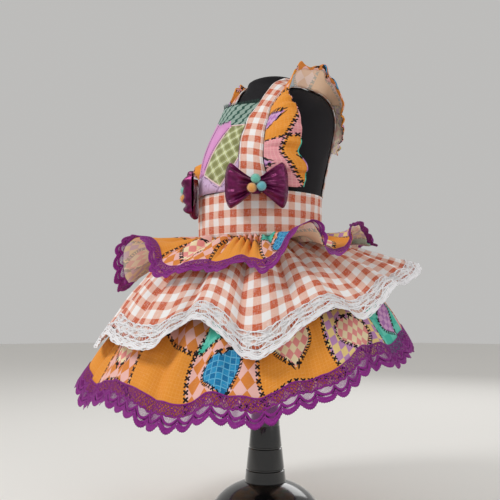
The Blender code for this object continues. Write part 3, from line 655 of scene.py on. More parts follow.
def gingham(name, rust, mid, white):
    """Woven checks: rust and white stripes crossing, with uneven threads and a plain weave."""
    material, shader = finish(name, mid, 0.88, Sheen_Weight=0.08, Specular_IOR_Level=0.25)
    u, v = flat_place(shader)
    stripes = []
    for place in (u, v):
        wander = times_plus(lumps(shader, 900, 1, "UV"), 0.0007, -0.00035)
        phase = divided(plus(place, wander), GINGHAM_PITCH)
        share = pingpong(phase, 0.5)
        stripes.append(clamp(times_plus(share, STRIPE_EDGE, -6.0)))
    across, down = stripes
    both = times(across, down)
    either = most(across, down)
    colour = tint(either, white, mid)
    colour = tint(both, colour, rust)
    for stretch in ((0.10, 1.0, 1.0), (1.0, 0.10, 1.0)):
        slub = lumps(shader, 1500, 1, "UV", stretch)
        share = most(least(times_plus(slub, 1.5, -0.78), SLUB_MOST), 0.0)
        colour = tint(share, colour, white)
    link(shader, colour)
    threads = times(weave(u, v, GINGHAM_WEAVE), lumps(shader, 1200, 1, "UV"))
    relief(shader, threads, 0.0004, 0.7)
    return material


rust_gingham = gingham("rust gingham", ink(200, 88, 44), ink(231, 186, 168), ink(241, 238, 237))
gingham_wrong = gingham("rust gingham wrong side", ink(184, 96, 68), ink(218, 180, 166),
                        ink(226, 222, 219))


def check(u, v, pitch):
    """1 and 0 in a chequerboard."""
    a = maths("FLOOR", divided(u, pitch))
    b = maths("FLOOR", divided(v, pitch))
    return pingpong(plus(a, b), 1.0)


def lines(place, pitch, width):
    """1 on thin lines at a pitch, and 0 between them."""
    share = pingpong(divided(place, pitch), 0.5)
    return below(share, width / pitch / 2)


def cross_stitch(across, along, pitch, size):
    """1 on the black crosses that follow a line: across it, and along it at a pitch."""
    share = minus(maths("FRACT", divided(along, pitch)), 0.5)
    b = absolute(times(share, pitch))
    a = absolute(across)
    arm = below(absolute(minus(a, b)), size * 0.26)
    near = below(most(a, b), size / 2)
    return times(arm, near)


FINE_WEAVE = 0.0009
PRINT_CELL = 0.080
SWAY_ACROSS = (0.190, 0.13)
SWAY_ALONG = (0.230, 0.19)
DIAMOND_TALL = 0.74
PLAIN_LINES = (0.0038, 0.0007)
BLUE_LINES = (0.0066, 0.0009)
PATCH_STITCH = (0.0070, 0.0052)
HEART_STITCH = (0.0056, 0.0042)
TEAL_CHANCE = 0.79
TEAL_REACH = 0.08
HEARTLESS_SHARE = 0.36
HEART_SIZE = 0.036
HEART_TALL = 1.28
WRONG_FADE = 0.52
HEM_CUT = (0.030, -0.018)


def patchwork(name, faded=0.0):
    """A printed patchwork of plains, diamonds and checks, with hearts ringed in cross-stitch.

    The print is the maker's own: patches in a wandering grid, each with a pattern by lot.
    """
    material, shader = finish(name, ink(220, 140, 70), 0.85, Sheen_Weight=0.06,
                              Specular_IOR_Level=0.25)
    u, v = flat_place(shader)
    bend_u = sine(times(v, 2 * math.pi / SWAY_ACROSS[0]))
    bend_v = sine(times_plus(u, 2 * math.pi / SWAY_ALONG[0], 1.0))
    place_u = times_plus(bend_u, SWAY_ACROSS[1], times(u, 1 / PRINT_CELL))
    place_v = times_plus(bend_v, SWAY_ALONG[1], times(v, 1 / PRINT_CELL))
    index_u, index_v = (maths("FLOOR", place) for place in (place_u, place_v))
    inside_u, inside_v = minus(place_u, index_u), minus(place_v, index_v)
    tree = shader.id_data
    lot = tree.nodes.new("ShaderNodeTexWhiteNoise")
    lot.noise_dimensions = "2D"
    join = tree.nodes.new("ShaderNodeCombineXYZ")
    tree.links.new(index_u, join.inputs[0])
    tree.links.new(index_v, join.inputs[1])
    tree.links.new(join.outputs[0], lot.inputs["Vector"])
    chance = lot.outputs["Value"]
    split = tree.nodes.new("ShaderNodeSeparateColor")
    tree.links.new(lot.outputs["Color"], split.inputs[0])
    heart_chance, heart_kind = split.outputs[1], split.outputs[2]

    tall = times(v, DIAMOND_TALL)
    slant_a, slant_b = plus(u, tall), minus(u, tall)
    grid = most(lines(u, *PLAIN_LINES), lines(v, *PLAIN_LINES))
    orange = tint(times(grid, 0.35), ink(229, 145, 48), ink(238, 170, 84))
    diamonds = tint(check(slant_a, slant_b, 0.0150), ink(238, 186, 178), ink(219, 132, 58))
    teal = tint(check(u, v, 0.0125), ink(70, 190, 168), ink(104, 206, 186))
    lilac = tint(check(u, v, 0.0095), ink(190, 138, 188), ink(236, 208, 138))
    rose = tint(times(grid, 0.5), ink(226, 150, 158), ink(240, 196, 190))
    away = absolute(minus(chance, TEAL_CHANCE))
    colour = tint(below(away, TEAL_REACH), orange, teal)
    other = tint(above(chance, 0.70), diamonds, lilac)
    other = tint(above(chance, 0.90), other, rose)
    odd = pingpong(plus(index_u, index_v), 1.0)
    colour = tint(odd, colour, other)

    seam_u, seam_v = (times(minus(inside, maths("ROUND", inside)), PRINT_CELL)
                      for inside in (inside_u, inside_v))
    stitches = most(cross_stitch(seam_u, v, *PATCH_STITCH), cross_stitch(seam_v, u, *PATCH_STITCH))

    scale = PRINT_CELL / HEART_SIZE
    x = absolute(times(minus(inside_u, 0.5), scale))
    y = times_plus(minus(inside_v, 0.5), scale / HEART_TALL, 0.55)
    total = plus(x, y)

    def far(a, b):
        return maths("SQRT", plus(times(a, a), times(b, b)))

    lobe = minus(far(minus(x, 0.25), minus(y, 0.75)), math.sqrt(2) / 4)
    half = times(most(total, 0.0), 0.5)
    side = least(far(x, minus(y, 1.0)), far(minus(x, half), minus(y, half)))
    side = times(side, maths("SIGN", minus(x, y)))
    upper = above(total, 1.0)
    edge = plus(times(lobe, upper), times(side, minus(1.0, upper)))
    edge = times(edge, HEART_SIZE)
    has_heart = above(heart_chance, HEARTLESS_SHARE)
    squares = tint(check(u, v, BLUE_LINES[0]), ink(14, 112, 164), ink(38, 142, 192))
    blue = tint(most(lines(u, *BLUE_LINES), lines(v, *BLUE_LINES)), squares, ink(98, 178, 214))
    cream = tint(check(slant_a, slant_b, 0.0095), ink(244, 226, 186), ink(236, 150, 146))
    plum = tint(check(u, v, 0.006), ink(178, 120, 184), ink(210, 162, 206))
    heart = tint(above(heart_kind, 0.45), blue, cream)
    heart = tint(above(heart_kind, 0.78), heart, plum)
    inside = times(below(edge, 0.0), has_heart)
    colour = tint(inside, colour, heart)
    ring_turn = maths("ARCTAN2", minus(y, 0.55), minus(inside_u, 0.5))
    ring = cross_stitch(minus(edge, 0.0006), times(ring_turn, 0.0215), *HEART_STITCH)
    ring = times(ring, has_heart)
    clear = times(has_heart, below(edge, 0.0008))
    stitches = times(stitches, minus(1.0, clear))
    stitches = most(stitches, ring)
    colour = tint(stitches, colour, ink(20, 15, 20))
    slub = clamp(times_plus(lumps(shader, 1300, 1, "UV", (0.15, 1, 1)), 1.0, -0.60))
    colour = tint(slub, colour, ink(246, 220, 190))
    if faded:
        colour = tint(faded, colour, ink(254, 244, 228))
    link(shader, colour)
    threads = times(weave(u, v, FINE_WEAVE), lumps(shader, 1200, 1, "UV"))
    relief(shader, threads, 0.0003, 0.6)
    return material


printed_cotton = patchwork("patchwork print")
print_wrong = patchwork("patchwork print wrong side", WRONG_FADE)

tier_peplum = sewn_cloth("peplum_cloth", peplum_face, (620, 22), [printed_cotton, print_wrong],
                         "patchwork_print", ("tier_peplum",), closed=True, low=PEPLUM.cloth_end)
tier_middle = sewn_cloth("middle_cloth", middle_face, (620, 30), [rust_gingham, gingham_wrong],
                         "gingham", ("tier_middle",), closed=True, low=MIDDLE.cloth_end)
tier_bottom = sewn_cloth("hem_cloth", hem_face, (620, 34), [printed_cotton, print_wrong],
                         "patchwork_print", ("tier_bottom",), closed=True, low=HEM.cloth_end,
                         origin=HEM_CUT)


# Waist band: one length of gingham round the waist, lapped at the left back, where two ivory
# buttons close it. Its upper and lower edges are turned in.
LAP_UNDER = -204
LAP_RISES_FROM = 142
LAP_OVER = 174
LAP_RISE = 0.0021
EASE = 0.0008
COTTON = 0.0014
BAND_CREASE = 0.0005
FOLDED_WALL = 0.0012


def band_place(across, down):
    azimuth = LAP_UNDER + (LAP_OVER - LAP_UNDER) * across
    height = BAND_TOP + (BAND_BOTTOM - BAND_TOP) * down
    lift = np.clip((azimuth - LAP_RISES_FROM) / (LAP_UNDER + 360.0 - LAP_RISES_FROM), 0, 1)
    out = EASE + COTTON + LAP_RISE * lift * lift * (3 - 2 * lift)
    crease = waves(azimuth + 60 * down, (9, 17, 5), 2.0) * BAND_CREASE * np.sin(math.pi * down)
    return round_point(azimuth, height, out + crease)


band_face = Surface(band_place, 400, 20)
waist_band = sewn_cloth("waist_band_cloth", band_face, (300, 18), [rust_gingham], "gingham",
                        ("waist_band",), wall=FOLDED_WALL)


# Buttons: two ivory buttons close the lap of the band. Each is turned with a raised rim round a
# dished face, and sewn on through four holes with a cross of thread.
BUTTON_AZIMUTH = 164
BUTTON_RADIUS = 0.0060
BUTTON_HEIGHT = 0.0022
BUTTON_GAP = 0.0007
BUTTON_HOLE_REACH = 0.0014
BUTTON_HOLE_RADIUS = 0.00055
BUTTON_THREAD_RADIUS = 0.00026
BUTTON_LEVELS = (("button_low", 0.3770), ("button_high", 0.4010))
BUTTON_PROFILE = [(0.0, 0.0), (0.88, 0.0), (0.96, 0.20), (1.0, 0.55), (0.97, 0.88), (0.90, 1.0),
                  (0.80, 0.97), (0.70, 0.74), (0.52, 0.62), (0.25, 0.58), (0.0, 0.58)]

ivory, shader = finish("ivory button", ink(236, 226, 202), 0.30, Coat_Weight=0.35,
                       Subsurface_Weight=0.12)
link(shader, tint(lumps(shader, 380, 3, stretch=(1, 1, 0.25)), ink(228, 214, 184),
                  ink(246, 240, 222)))
relief(shader, lumps(shader, 900, 2), 0.0001, 0.3)
# Painted shade: the four holes are flat dark discs on the button's face, standing for the shade
# inside them.
hole_shade = finish("button hole", ink(58, 46, 34), 0.9)[0]
button_thread, shader = finish("button thread", ink(214, 196, 160), 0.8)
relief(shader, lumps(shader, 2600, 2), 0.0002, 0.8)
for name, level in BUTTON_LEVELS:
    seat = Vector(round_point(BUTTON_AZIMUTH, level, EASE + COTTON + LAP_RISE))
    along = Vector(round_point(BUTTON_AZIMUTH + 1, level) - round_point(BUTTON_AZIMUTH - 1, level))
    away = Vector((along.y, -along.x, 0.0)).normalized()
    shape = bmesh.new()
    turned(shape, [(radius * BUTTON_RADIUS, height * BUTTON_HEIGHT)
                   for radius, height in BUTTON_PROFILE], 40)
    face_height = 0.60 * BUTTON_HEIGHT
    for k in range(4):
        turn = math.radians(45 + 90 * k)
        hole = Matrix.Translation((BUTTON_HOLE_REACH * math.cos(turn),
                                   BUTTON_HOLE_REACH * math.sin(turn), face_height + 0.00004))
        ring = bmesh.ops.create_circle(shape, cap_ends=True, segments=12,
                                       radius=BUTTON_HOLE_RADIUS, matrix=hole)
        for face in {face for vertex in ring["verts"] for face in vertex.link_faces}:
            face.material_index = 1
    for k in range(2):
        lie = (Matrix.Translation((0, 0, face_height + 0.0002 + 0.0002 * k))
               @ Matrix.Rotation(math.radians(45 + 90 * k), 4, "Z")
               @ Matrix.Rotation(math.radians(90), 4, "Y"))
        bar = bmesh.ops.create_cone(shape, cap_ends=True, segments=10,
                                    radius1=BUTTON_THREAD_RADIUS, radius2=BUTTON_THREAD_RADIUS,
                                    depth=2 * BUTTON_HOLE_REACH, matrix=lie)
        for face in {face for vertex in bar["verts"] for face in vertex.link_faces}:
            face.material_index = 2
    stand = Matrix.Translation(seat + away * BUTTON_GAP)
    bmesh.ops.transform(shape, verts=shape.verts[:],
                        matrix=stand @ away.to_track_quat("Z", "Y").to_matrix().to_4x4())
    add_piece(f"{name}_ivory", shape, [ivory, hole_shade, button_thread], "ivory_button", (name,))


# Shoulder straps: two folded lengths of gingham, from the band's front over the shoulders to its
# back, top-stitched along both edges. The left one slants inwards on the chest and narrows above.
StrapRow = namedtuple("StrapRow", "turn x width")
BACK_ROWS = [
    StrapRow(75, 0.0440, 0.026),
    StrapRow(95, 0.0540, 0.027),
    StrapRow(126, 0.0520, 0.030),
    StrapRow(185, 0.0470, 0.034),
    StrapRow(224, 0.0460, 0.034),
]
STRAP_ROWS = {
    "left": [
        StrapRow(-36, 0.0500, 0.0360),
        StrapRow(-17, 0.0455, 0.0275),
        StrapRow(-5, 0.0410, 0.0290),
        StrapRow(15, 0.0345, 0.0325),
        StrapRow(26, 0.0325, 0.0315),
        StrapRow(38, 0.0308, 0.0320),
        StrapRow(46, 0.0318, 0.0265),
        StrapRow(52, 0.0332, 0.0225),
        StrapRow(63, 0.0378, 0.0205),
        StrapRow(78, 0.0450, 0.0225),
        *BACK_ROWS[1:],
    ],
    "right": [
        StrapRow(-36, 0.0500, 0.0360),
        StrapRow(-13, 0.0490, 0.0310),
        StrapRow(-2, 0.0485, 0.0270),
        StrapRow(30, 0.0440, 0.0250),
        StrapRow(57, 0.0410, 0.0260),
        *BACK_ROWS,
    ],
}
STRAP_EASE = 0.0016
SEAM_GAP = 0.0004


def front_point(x, height, out):
    """Points of the form's front at distances from its middle line."""
    half_x, half_y, middle = form_section(height, out)
    reach = 1.0 - np.minimum(np.abs(x) / half_x, 1.0) ** ROUNDNESS
    x, y, z = np.broadcast_arrays(x, middle - half_y * reach ** (1.0 / ROUNDNESS), height)
    return np.stack((x, y, z), axis=-1)


def over_point(x, turn, out):
    """Points of the form in upright planes at x, at turns from the front over to the back."""
    heart_y, heart_z = FORM_HEART
    step_y, step_z = -np.cos(np.radians(turn)), np.sin(np.radians(turn))
    inside, outside = np.zeros_like(step_y), np.full_like(step_y, 0.2)
    for _ in range(30):
        middle = (inside + outside) / 2
        y, z = heart_y + step_y * middle, heart_z + step_z * middle
        half_x, half_y, middle_y = form_section(z - out * np.maximum(step_z, 0.0), out)
        fill = (np.abs(x) / half_x) ** ROUNDNESS + (np.abs(y - middle_y) / half_y) ** ROUNDNESS
        good = (fill < 1.0) & (z < FORM_ROWS[-1].height)
        inside, outside = np.where(good, middle, inside), np.where(good, outside, middle)
    return np.stack((x, heart_y + step_y * inside, heart_z + step_z * inside), axis=-1)


def strap_x(rows, turn, across):
    """The distance from the middle plane of a strap's line, -0.5 to 0.5 across it, at turns."""
    return curve(rows, 1, turn) + curve(rows, 2, turn) * across


def band_turn(x, out, back=False):
    """The turn at which the strap's line at x comes down to the top of the waist band."""
    heart_y, heart_z = FORM_HEART
    low = BAND_TOP + SEAM_GAP
    front_y = front_point(x, low, out)[..., 1]
    if back:
        back_y = 2 * form_section(low)[2] - front_y
        return 180 - np.degrees(np.arctan2(low - heart_z, back_y - heart_y))
    return np.degrees(np.arctan2(low - heart_z, heart_y - front_y))


def on_side(place, side):
    """A piece drawn on the wearer's left, or mirrored to the right, still facing out."""
    def placed(across, down):
        points = place(across if side > 0 else 1 - across, down)
        return points * np.array((side, 1, 1))
    return placed


def strap_place(rows):
    """A strap's outer face, drawn on the wearer's left, from the band's front to its back."""
    def place(across, down):
        out = STRAP_EASE + COTTON
        first = band_turn(rows[0].x + rows[0].width * (down - 0.5), out)
        last = band_turn(rows[-1].x + rows[-1].width * (down - 0.5), out, back=True)
        turn = first + (last - first) * across
        crease = waves(turn * 2 + down * 40, (7, 11, 5), 4.0) * 0.0004
        return over_point(strap_x(rows, turn, down - 0.5), turn, out + crease)
    return place


THREAD_RADIUS = 0.00032


def topstitch(name, surfaces, rows, thread, slot, pitch=0.0031, out=0.0003):
    """Small raised stitches along rows on surfaces. A row is two places, each a share across and
    a share down; the stitches lie along the straight line between them on the flat cloth."""
    shape = bmesh.new()
    for surface, row in zip(surfaces, rows):
        (a0, d0), (a1, d1) = row
        share = np.linspace(0, 1, 200)
        line = surface.at(a0 + (a1 - a0) * share, d0 + (d1 - d0) * share, np.full(200, out))
        reach = np.concatenate(([0.0], np.cumsum(np.linalg.norm(np.diff(line, axis=0), axis=1))))
        for k in range(int(reach[-1] / pitch)):
            start, end = (k + 0.15) * pitch, (k + 0.85) * pitch
            place = [Vector([np.interp(at, reach, line[:, axis]) for axis in range(3)])
                     for at in (start, end)]
            middle = (place[0] + place[1]) / 2
            turn = (place[1] - place[0]).to_track_quat("X", "Z").to_matrix().to_4x4()
            length = (place[1] - place[0]).length
            bmesh.ops.create_cone(
                shape, segments=4, radius1=THREAD_RADIUS, radius2=THREAD_RADIUS, depth=length,
                cap_ends=True,
                matrix=Matrix.Translation(middle) @ turn @ Matrix.Rotation(math.pi / 2, 4, "Y"))
    return add_piece(name, shape, [thread], slot)


strap_faces = {name: Surface(on_side(strap_place(STRAP_ROWS[name]), side), 200, 12)
               for side, name in ((1, "left"), (-1, "right"))}
pale_thread = finish("pale pink thread", ink(236, 205, 198), 0.7)[0]
for name, face in strap_faces.items():
    strap = sewn_cloth(f"strap_{name}_cloth", face, (150, 12), [rust_gingham], "gingham",
                       (f"strap_{name}",), wall=0.0014)
    stitches = topstitch(f"strap_{name}_stitches", [face, face],
                         [((0.01, 0.07), (0.99, 0.07)), ((0.01, 0.93), (0.99, 0.93))],
                         pale_thread, "gingham")
band_stitches = topstitch("waist_band_stitches", [band_face, band_face],
                          [((0.004, 0.05), (0.996, 0.05)), ((0.004, 0.94), (0.996, 0.94))],
                          pale_thread, "gingham")


# Flutter ruffles: a gathered length of print on each strap's outer edge, from the band's front
# over the shoulder to the back. Its free edge has a narrow rolled hem, with a strip turned in
# behind it on the wrong side.
Flutter = namedtuple("Flutter", "turn x y z belly")
FLUTTER_BACK = [
    Flutter(132, 0.0840, 0.0640, 0.5240, 0.0040),
    Flutter(146, 0.0800, 0.0700, 0.5080, 0.0050),
    Flutter(160, 0.0720, 0.0710, 0.4930, 0.0030),
    Flutter(172, 0.0700, 0.0680, 0.4800, 0.0015),
]
FLUTTER_ROWS = {
    "left": [
        Flutter(-34, 0.0885, -0.0190, 0.4250, 0.0065),
        Flutter(-20, 0.0935, -0.0195, 0.4420, 0.0080),
        Flutter(-12, 0.0950, -0.0200, 0.4530, 0.0120),
        Flutter(-4, 0.0890, -0.0290, 0.4670, 0.0070),
        Flutter(6, 0.0920, -0.0270, 0.4800, 0.0110),
        Flutter(18, 0.0915, -0.0270, 0.5030, 0.0120),
        Flutter(32, 0.0860, -0.0260, 0.5230, 0.0110),
        Flutter(46, 0.0750, -0.0270, 0.5400, 0.0100),
        Flutter(58, 0.0660, -0.0220, 0.5560, 0.0050),
        Flutter(68, 0.0650, -0.0110, 0.5780, 0.0020),
        Flutter(78, 0.0680, -0.0010, 0.5935, 0.0010),
        Flutter(88, 0.0740, 0.0110, 0.5870, 0.0050),
        Flutter(97, 0.0820, 0.0240, 0.5930, 0.0020),
        Flutter(107, 0.0900, 0.0360, 0.5760, 0.0040),
        Flutter(118, 0.0930, 0.0530, 0.5500, 0.0040),
        *FLUTTER_BACK,
    ],
    "right": [
        Flutter(-34, 0.0900, -0.0140, 0.4270, 0.0050),
        Flutter(-24, 0.0930, -0.0170, 0.4400, 0.0050),
        Flutter(-14, 0.1000, -0.0370, 0.4590, 0.0050),
        Flutter(-6, 0.1030, -0.0370, 0.4720, 0.0080),
        Flutter(6, 0.0880, 0.0060, 0.4780, 0.0080),
        Flutter(18, 0.0870, 0.0110, 0.4960, 0.0060),
        Flutter(32, 0.0850, 0.0080, 0.5180, 0.0050),
        Flutter(46, 0.0790, 0.0050, 0.5380, 0.0040),
        Flutter(58, 0.0690, 0.0030, 0.5590, 0.0030),
        Flutter(68, 0.0650, 0.0030, 0.5800, 0.0020),
        Flutter(78, 0.0660, 0.0140, 0.5930, 0.0010),
        Flutter(88, 0.0690, 0.0270, 0.5960, 0.0020),
        Flutter(97, 0.0720, 0.0400, 0.5890, 0.0030),
        Flutter(107, 0.0820, 0.0500, 0.5770, 0.0040),
        Flutter(118, 0.0890, 0.0580, 0.5500, 0.0040),
        *FLUTTER_BACK,
    ],
}


FLUTE_DEPTH = 0.0030
GATHER_DEPTH = 0.0026


def flutter_place(rows, strap_rows, seed):
    """A ruffle's outer face, drawn on the wearer's left, from the strap to its free edge."""
    def place(across, down):
        turn = rows[0].turn + (rows[-1].turn - rows[0].turn) * across
        start = over_point(strap_x(strap_rows, turn, 0.5) + 2 * SEAM_GAP, turn,
                           STRAP_EASE + COTTON)
        edge = np.stack([curve(rows, column, turn) for column in (1, 2, 3)], axis=-1)
        middle = (start + edge) / 2
        away = middle - np.array((0.0, *FORM_HEART))
        away /= np.linalg.norm(away, axis=-1, keepdims=True)
        middle = middle + away * curve(rows, 4, turn)[..., None] * 2.0
        share = down[..., None]
        points = start * (1 - share) ** 2 + middle * 2 * share * (1 - share) + edge * share ** 2
        flutes = waves(turn * 2, (17, 23, 11), seed) * FLUTE_DEPTH * down ** 1.2
        gathers = np.abs(np.sin(np.radians(turn * 15) + np.sin(turn * 0.2))) - 0.6
        fade = (1 - down) ** 0.8 * np.minimum(down * 9, 1.0)
        return points + away * (flutes + gathers * GATHER_DEPTH * fade)[..., None]
    return place


TURNING_START = 0.72
TURNING_END = 0.99


def hem_turning(place):
    """The strip along a ruffle's free edge that is turned to its wrong side."""
    def turning(across, down):
        start = TURNING_START + 0.07 * np.sin(across * 44) + 0.04 * np.sin(across * 101)
        return place(across, start + (TURNING_END - start) * down)
    return turning


PIPING_SIDES = 8
PIPING_RADIUS = 0.0009


def piping(name, line, material, slot):
    """A thin round cord or rolled edge along a line of points."""
    along = np.gradient(line, axis=0)
    along /= np.linalg.norm(along, axis=1, keepdims=True)
    side = np.cross(along, np.roll(along, 1, axis=0) + np.array((0.31, 0.52, 0.79)))
    side /= np.linalg.norm(side, axis=1, keepdims=True)
    other = np.cross(along, side)
    steps = np.linalg.norm(np.diff(line, axis=0), axis=1)
    reach = np.concatenate(([0.0], np.cumsum(steps)))
    shape = bmesh.new()
    bmesh.ops.create_grid(shape, x_segments=len(line) - 1, y_segments=PIPING_SIDES,
                          size=0.5)
    layer = shape.loops.layers.uv.new("flat")
    for face in shape.faces:
        for loop in face.loops:
            k = round((loop.vert.co.x + 0.5) * (len(line) - 1))
            loop[layer].uv = (reach[k], 0.012 + (loop.vert.co.y + 0.5) * 0.006)
    for vertex in shape.verts:
        k = round((vertex.co.x + 0.5) * (len(line) - 1))
        turn = 2 * math.pi * (vertex.co.y + 0.5)
        vertex.co = line[k] + PIPING_RADIUS * (side[k] * math.cos(turn)
                                               + other[k] * math.sin(turn))
    bmesh.ops.remove_doubles(shape, verts=shape.verts[:], dist=PIPING_RADIUS * 0.02)
    bmesh.ops.holes_fill(shape, edges=shape.edges[:], sides=PIPING_SIDES + 1)
    bmesh.ops.recalc_face_normals(shape, faces=shape.faces[:])
    return add_piece(name, shape, [material], slot)


RUFFLE_CUT = {"left": (0.08, 0.0), "right": (0.0, 0.0)}
TURNED_CUT = (0.03, 0.05)
ROLL_SHARE = 0.985
for side, name in ((1, "left"), (-1, "right")):
    place = flutter_place(FLUTTER_ROWS[name], STRAP_ROWS[name], 3.0 + side)
    face = Surface(on_side(place, side), 420, 24)
    ruffle = sewn_cloth(f"ruffle_{name}_cloth", face, (300, 16), [printed_cotton, print_wrong],
                        "patchwork_print", (f"ruffle_{name}",), origin=RUFFLE_CUT[name])
    share = np.linspace(0, 1, 320)
    turned_in = Surface(on_side(hem_turning(place), side), 420, 8)
    turned_hem = sewn_cloth(f"ruffle_{name}_turned_hem", turned_in, (300, 5), [printed_cotton],
                            "patchwork_print", wall=0.0004, out=-0.0010, origin=TURNED_CUT)
    rolled = piping(f"ruffle_{name}_hem", face.at(share, 0 * share + ROLL_SHARE, -0.0003),
                    printed_cotton, "patchwork_print")


# Bib: five cotton patches pieced over a backing between the straps. The green plaid is cut on the
# bias and piped, the neckline's print is left raw and frays, and dark thread joins the rest. The
# bib laps the right strap and stands off the form there.
NECKLINE = 0.544
BIB_LAP = 0.009
BIB_LIFT_SPAN = 0.62
BIB_LIFT_LOW = 0.0032
BIB_LIFT_TOP = 0.0095


def strap_inner_x(name, height):
    """How far a strap's inner edge stands from the middle line of the front, at heights."""
    heart_y, heart_z = FORM_HEART
    turn = np.zeros_like(height)
    for _ in range(20):
        point = front_point(strap_x(STRAP_ROWS[name], turn, -0.5), height, EASE)
        turn = np.degrees(np.arctan2(height - heart_z, heart_y - point[..., 1]))
    return strap_x(STRAP_ROWS[name], turn, -0.5) - 0.0008


def plain_cloth(name, first, second, scale):
    """A cotton in two shades that run into each other, with a plain weave's relief."""
    material, shader = finish(name, first, 0.88, Sheen_Weight=0.12, Specular_IOR_Level=0.25)
    u, v = flat_place(shader)
    colour = tint(lumps(shader, scale, 3), first, second)
    relief(shader, weave(u, v, FINE_WEAVE), 0.0003, 0.5)
    return material, shader, colour, u, v


lilac_print, shader, colour, u, v = plain_cloth(
    "lilac print", ink(196, 160, 200), ink(222, 196, 224), 300)
dashes = above(lumps(shader, 420, 1, "UV", (1.0, 0.35, 1.0)), 0.63)
link(shader, tint(times(dashes, 0.5), colour, ink(150, 100, 150)))

pink_cotton, shader, colour, u, v = plain_cloth(
    "pink cotton", ink(214, 140, 198), ink(226, 160, 210), 90)
link(shader, colour)

green_print, shader, colour, u, v = plain_cloth(
    "grey green print", ink(132, 158, 146), ink(164, 184, 174), 120)
zigzag = pingpong(divided(v, 0.007), 0.5)
place = times_plus(zigzag, 0.0070, times_plus(v, -0.5, u))
stripe = lines(place, 0.0125, 0.0044)
link(shader, tint(times(stripe, 0.92), colour, ink(14, 72, 60)))

PLAID_PITCH = 0.0130
PLAID_BAND = 0.28
BIAS = (0.854, 0.52)
green_plaid, shader, colour, u, v = plain_cloth(
    "olive plaid", ink(194, 200, 142), ink(206, 210, 158), 100)
bias_a = times_plus(v, BIAS[1], times(u, BIAS[0]))
bias_b = times_plus(v, -BIAS[0], times(u, BIAS[1]))
for place in (bias_a, bias_b):
    band = below(pingpong(divided(place, PLAID_PITCH), 0.5), PLAID_BAND)
    colour = tint(times(band, 0.44), colour, ink(86, 84, 8))
for place in (bias_a, bias_b):
    fine = lines(plus(place, PLAID_PITCH / 2), PLAID_PITCH, 0.0012)
    colour = tint(times(fine, 0.6), colour, ink(230, 234, 205))
link(shader, colour)


def bib_place(across, down):
    """The bib's outer face, from the right strap to the left and from the neckline down."""
    low = BAND_TOP + SEAM_GAP
    height = low + (NECKLINE - low) * (1 - down)
    far, near = strap_inner_x("right", height) + BIB_LAP, strap_inner_x("left", height)
    share = np.clip((1 - across) / BIB_LIFT_SPAN, 0, 1)
    share = share * share * (3 - 2 * share)
    lift = share * (BIB_LIFT_LOW + BIB_LIFT_TOP * (1 - down) ** 0.8)
    return front_point((far + near) * across - far, height, EASE + COTTON + lift)


bib_face = Surface(bib_place, 60, 60)
bib_backing = sewn_cloth("bib_backing", bib_face, (40, 40), [lilac_print], "lilac_print",
                         ("bib",), wall=FOLDED_WALL)


def bib_share(x, height):
    """The shares across and down the bib of a place on the front, kept inside its edges."""
    height = np.array(float(height))
    far, near = strap_inner_x("right", height) + BIB_LAP, strap_inner_x("left", height)
    down = (NECKLINE - height) / (NECKLINE - BAND_TOP - SEAM_GAP)
    return (float(np.clip((x + far) / (far + near), 0.012, 0.988)),
            float(np.clip(down, 0.0, 0.992)))


PLAID_CORNERS = ((-0.004, 0.512), (0.040, 0.512), (0.040, 0.463), (0.008, 0.4275),
                 (-0.0245, 0.446))
PATCH_WALL = 0.0005
Patch = namedtuple("Patch", "node material slot corners raised")
PATCHES = [
    Patch("patch_neck", green_print, "green_print",
          ((-0.060, 0.544), (0.060, 0.544), (0.060, 0.5105), (-0.060, 0.5165)), 0.0008),
    Patch("patch_front", pink_cotton, "pink_cotton",
          ((-0.060, 0.5215), (-0.008, 0.5205), (-0.0035, 0.511), (-0.0265, 0.446),
           (-0.060, 0.443)), 0.0011),
    Patch("patch_plaid", green_plaid, "green_plaid", PLAID_CORNERS, 0.0016),
    Patch("patch_low_left", lilac_print, "lilac_print",
          ((0.0085, 0.4285), (0.060, 0.470), (0.060, 0.4205), (0.0040, 0.4205)), 0.0009),
    Patch("patch_low_right", lilac_print, "lilac_print",
          ((-0.060, 0.4445), (-0.0245, 0.4475), (0.0075, 0.4290), (0.0035, 0.4205),
           (-0.060, 0.4205)), 0.0009),
]


def patch_cloth(patch):
    """A flat piece cut to its corners, laid on the bib and turned in along its edges."""
    shape = bmesh.new()
    places = [bib_share(*corner) for corner in patch.corners]
    corners = [shape.verts.new((a, -d, 0.0)) for a, d in places]
    shape.faces.new(list(reversed(corners)))
    bmesh.ops.inset_region(shape, faces=shape.faces[:], thickness=0.018, depth=0.0)
    bmesh.ops.subdivide_edges(shape, edges=shape.edges[:], cuts=9, use_grid_fill=True)
    bmesh.ops.triangulate(shape, faces=[f for f in shape.faces if len(f.verts) > 4])
    bmesh.ops.subdivide_edges(shape, edges=shape.edges[:], cuts=1, use_grid_fill=True)
    across = np.array([vertex.co.x for vertex in shape.verts])
    down = np.array([-vertex.co.y for vertex in shape.verts])
    u, v = bib_face.flat(across, down)
    set_flat(shape, u, v)
    rim = {vertex.index for edge in shape.edges if edge.is_boundary for vertex in edge.verts}
    out = np.array([patch.raised * (0.55 if k in rim else 1.0) for k in range(len(across))])
    pucker = np.sin(u * 900) * np.sin(v * 760) * 0.00015
    for vertex, point in zip(shape.verts, bib_face.at(across, down, out + pucker)):
        vertex.co = point
    shape.normal_update()
    if sum(face.normal.y for face in shape.faces) > 0:
        bmesh.ops.reverse_faces(shape, faces=shape.faces[:])
    item = add_piece(patch.node + "_cloth", shape, [patch.material], patch.slot, (patch.node,))
    thicken(item, PATCH_WALL)
    return item


patches = [patch_cloth(patch) for patch in PATCHES]

piping_pink, shader = finish("pale pink piping", ink(238, 208, 205), 0.8, Sheen_Weight=0.1)
relief(shader, lumps(shader, 1500, 1), 0.0002, 0.6)


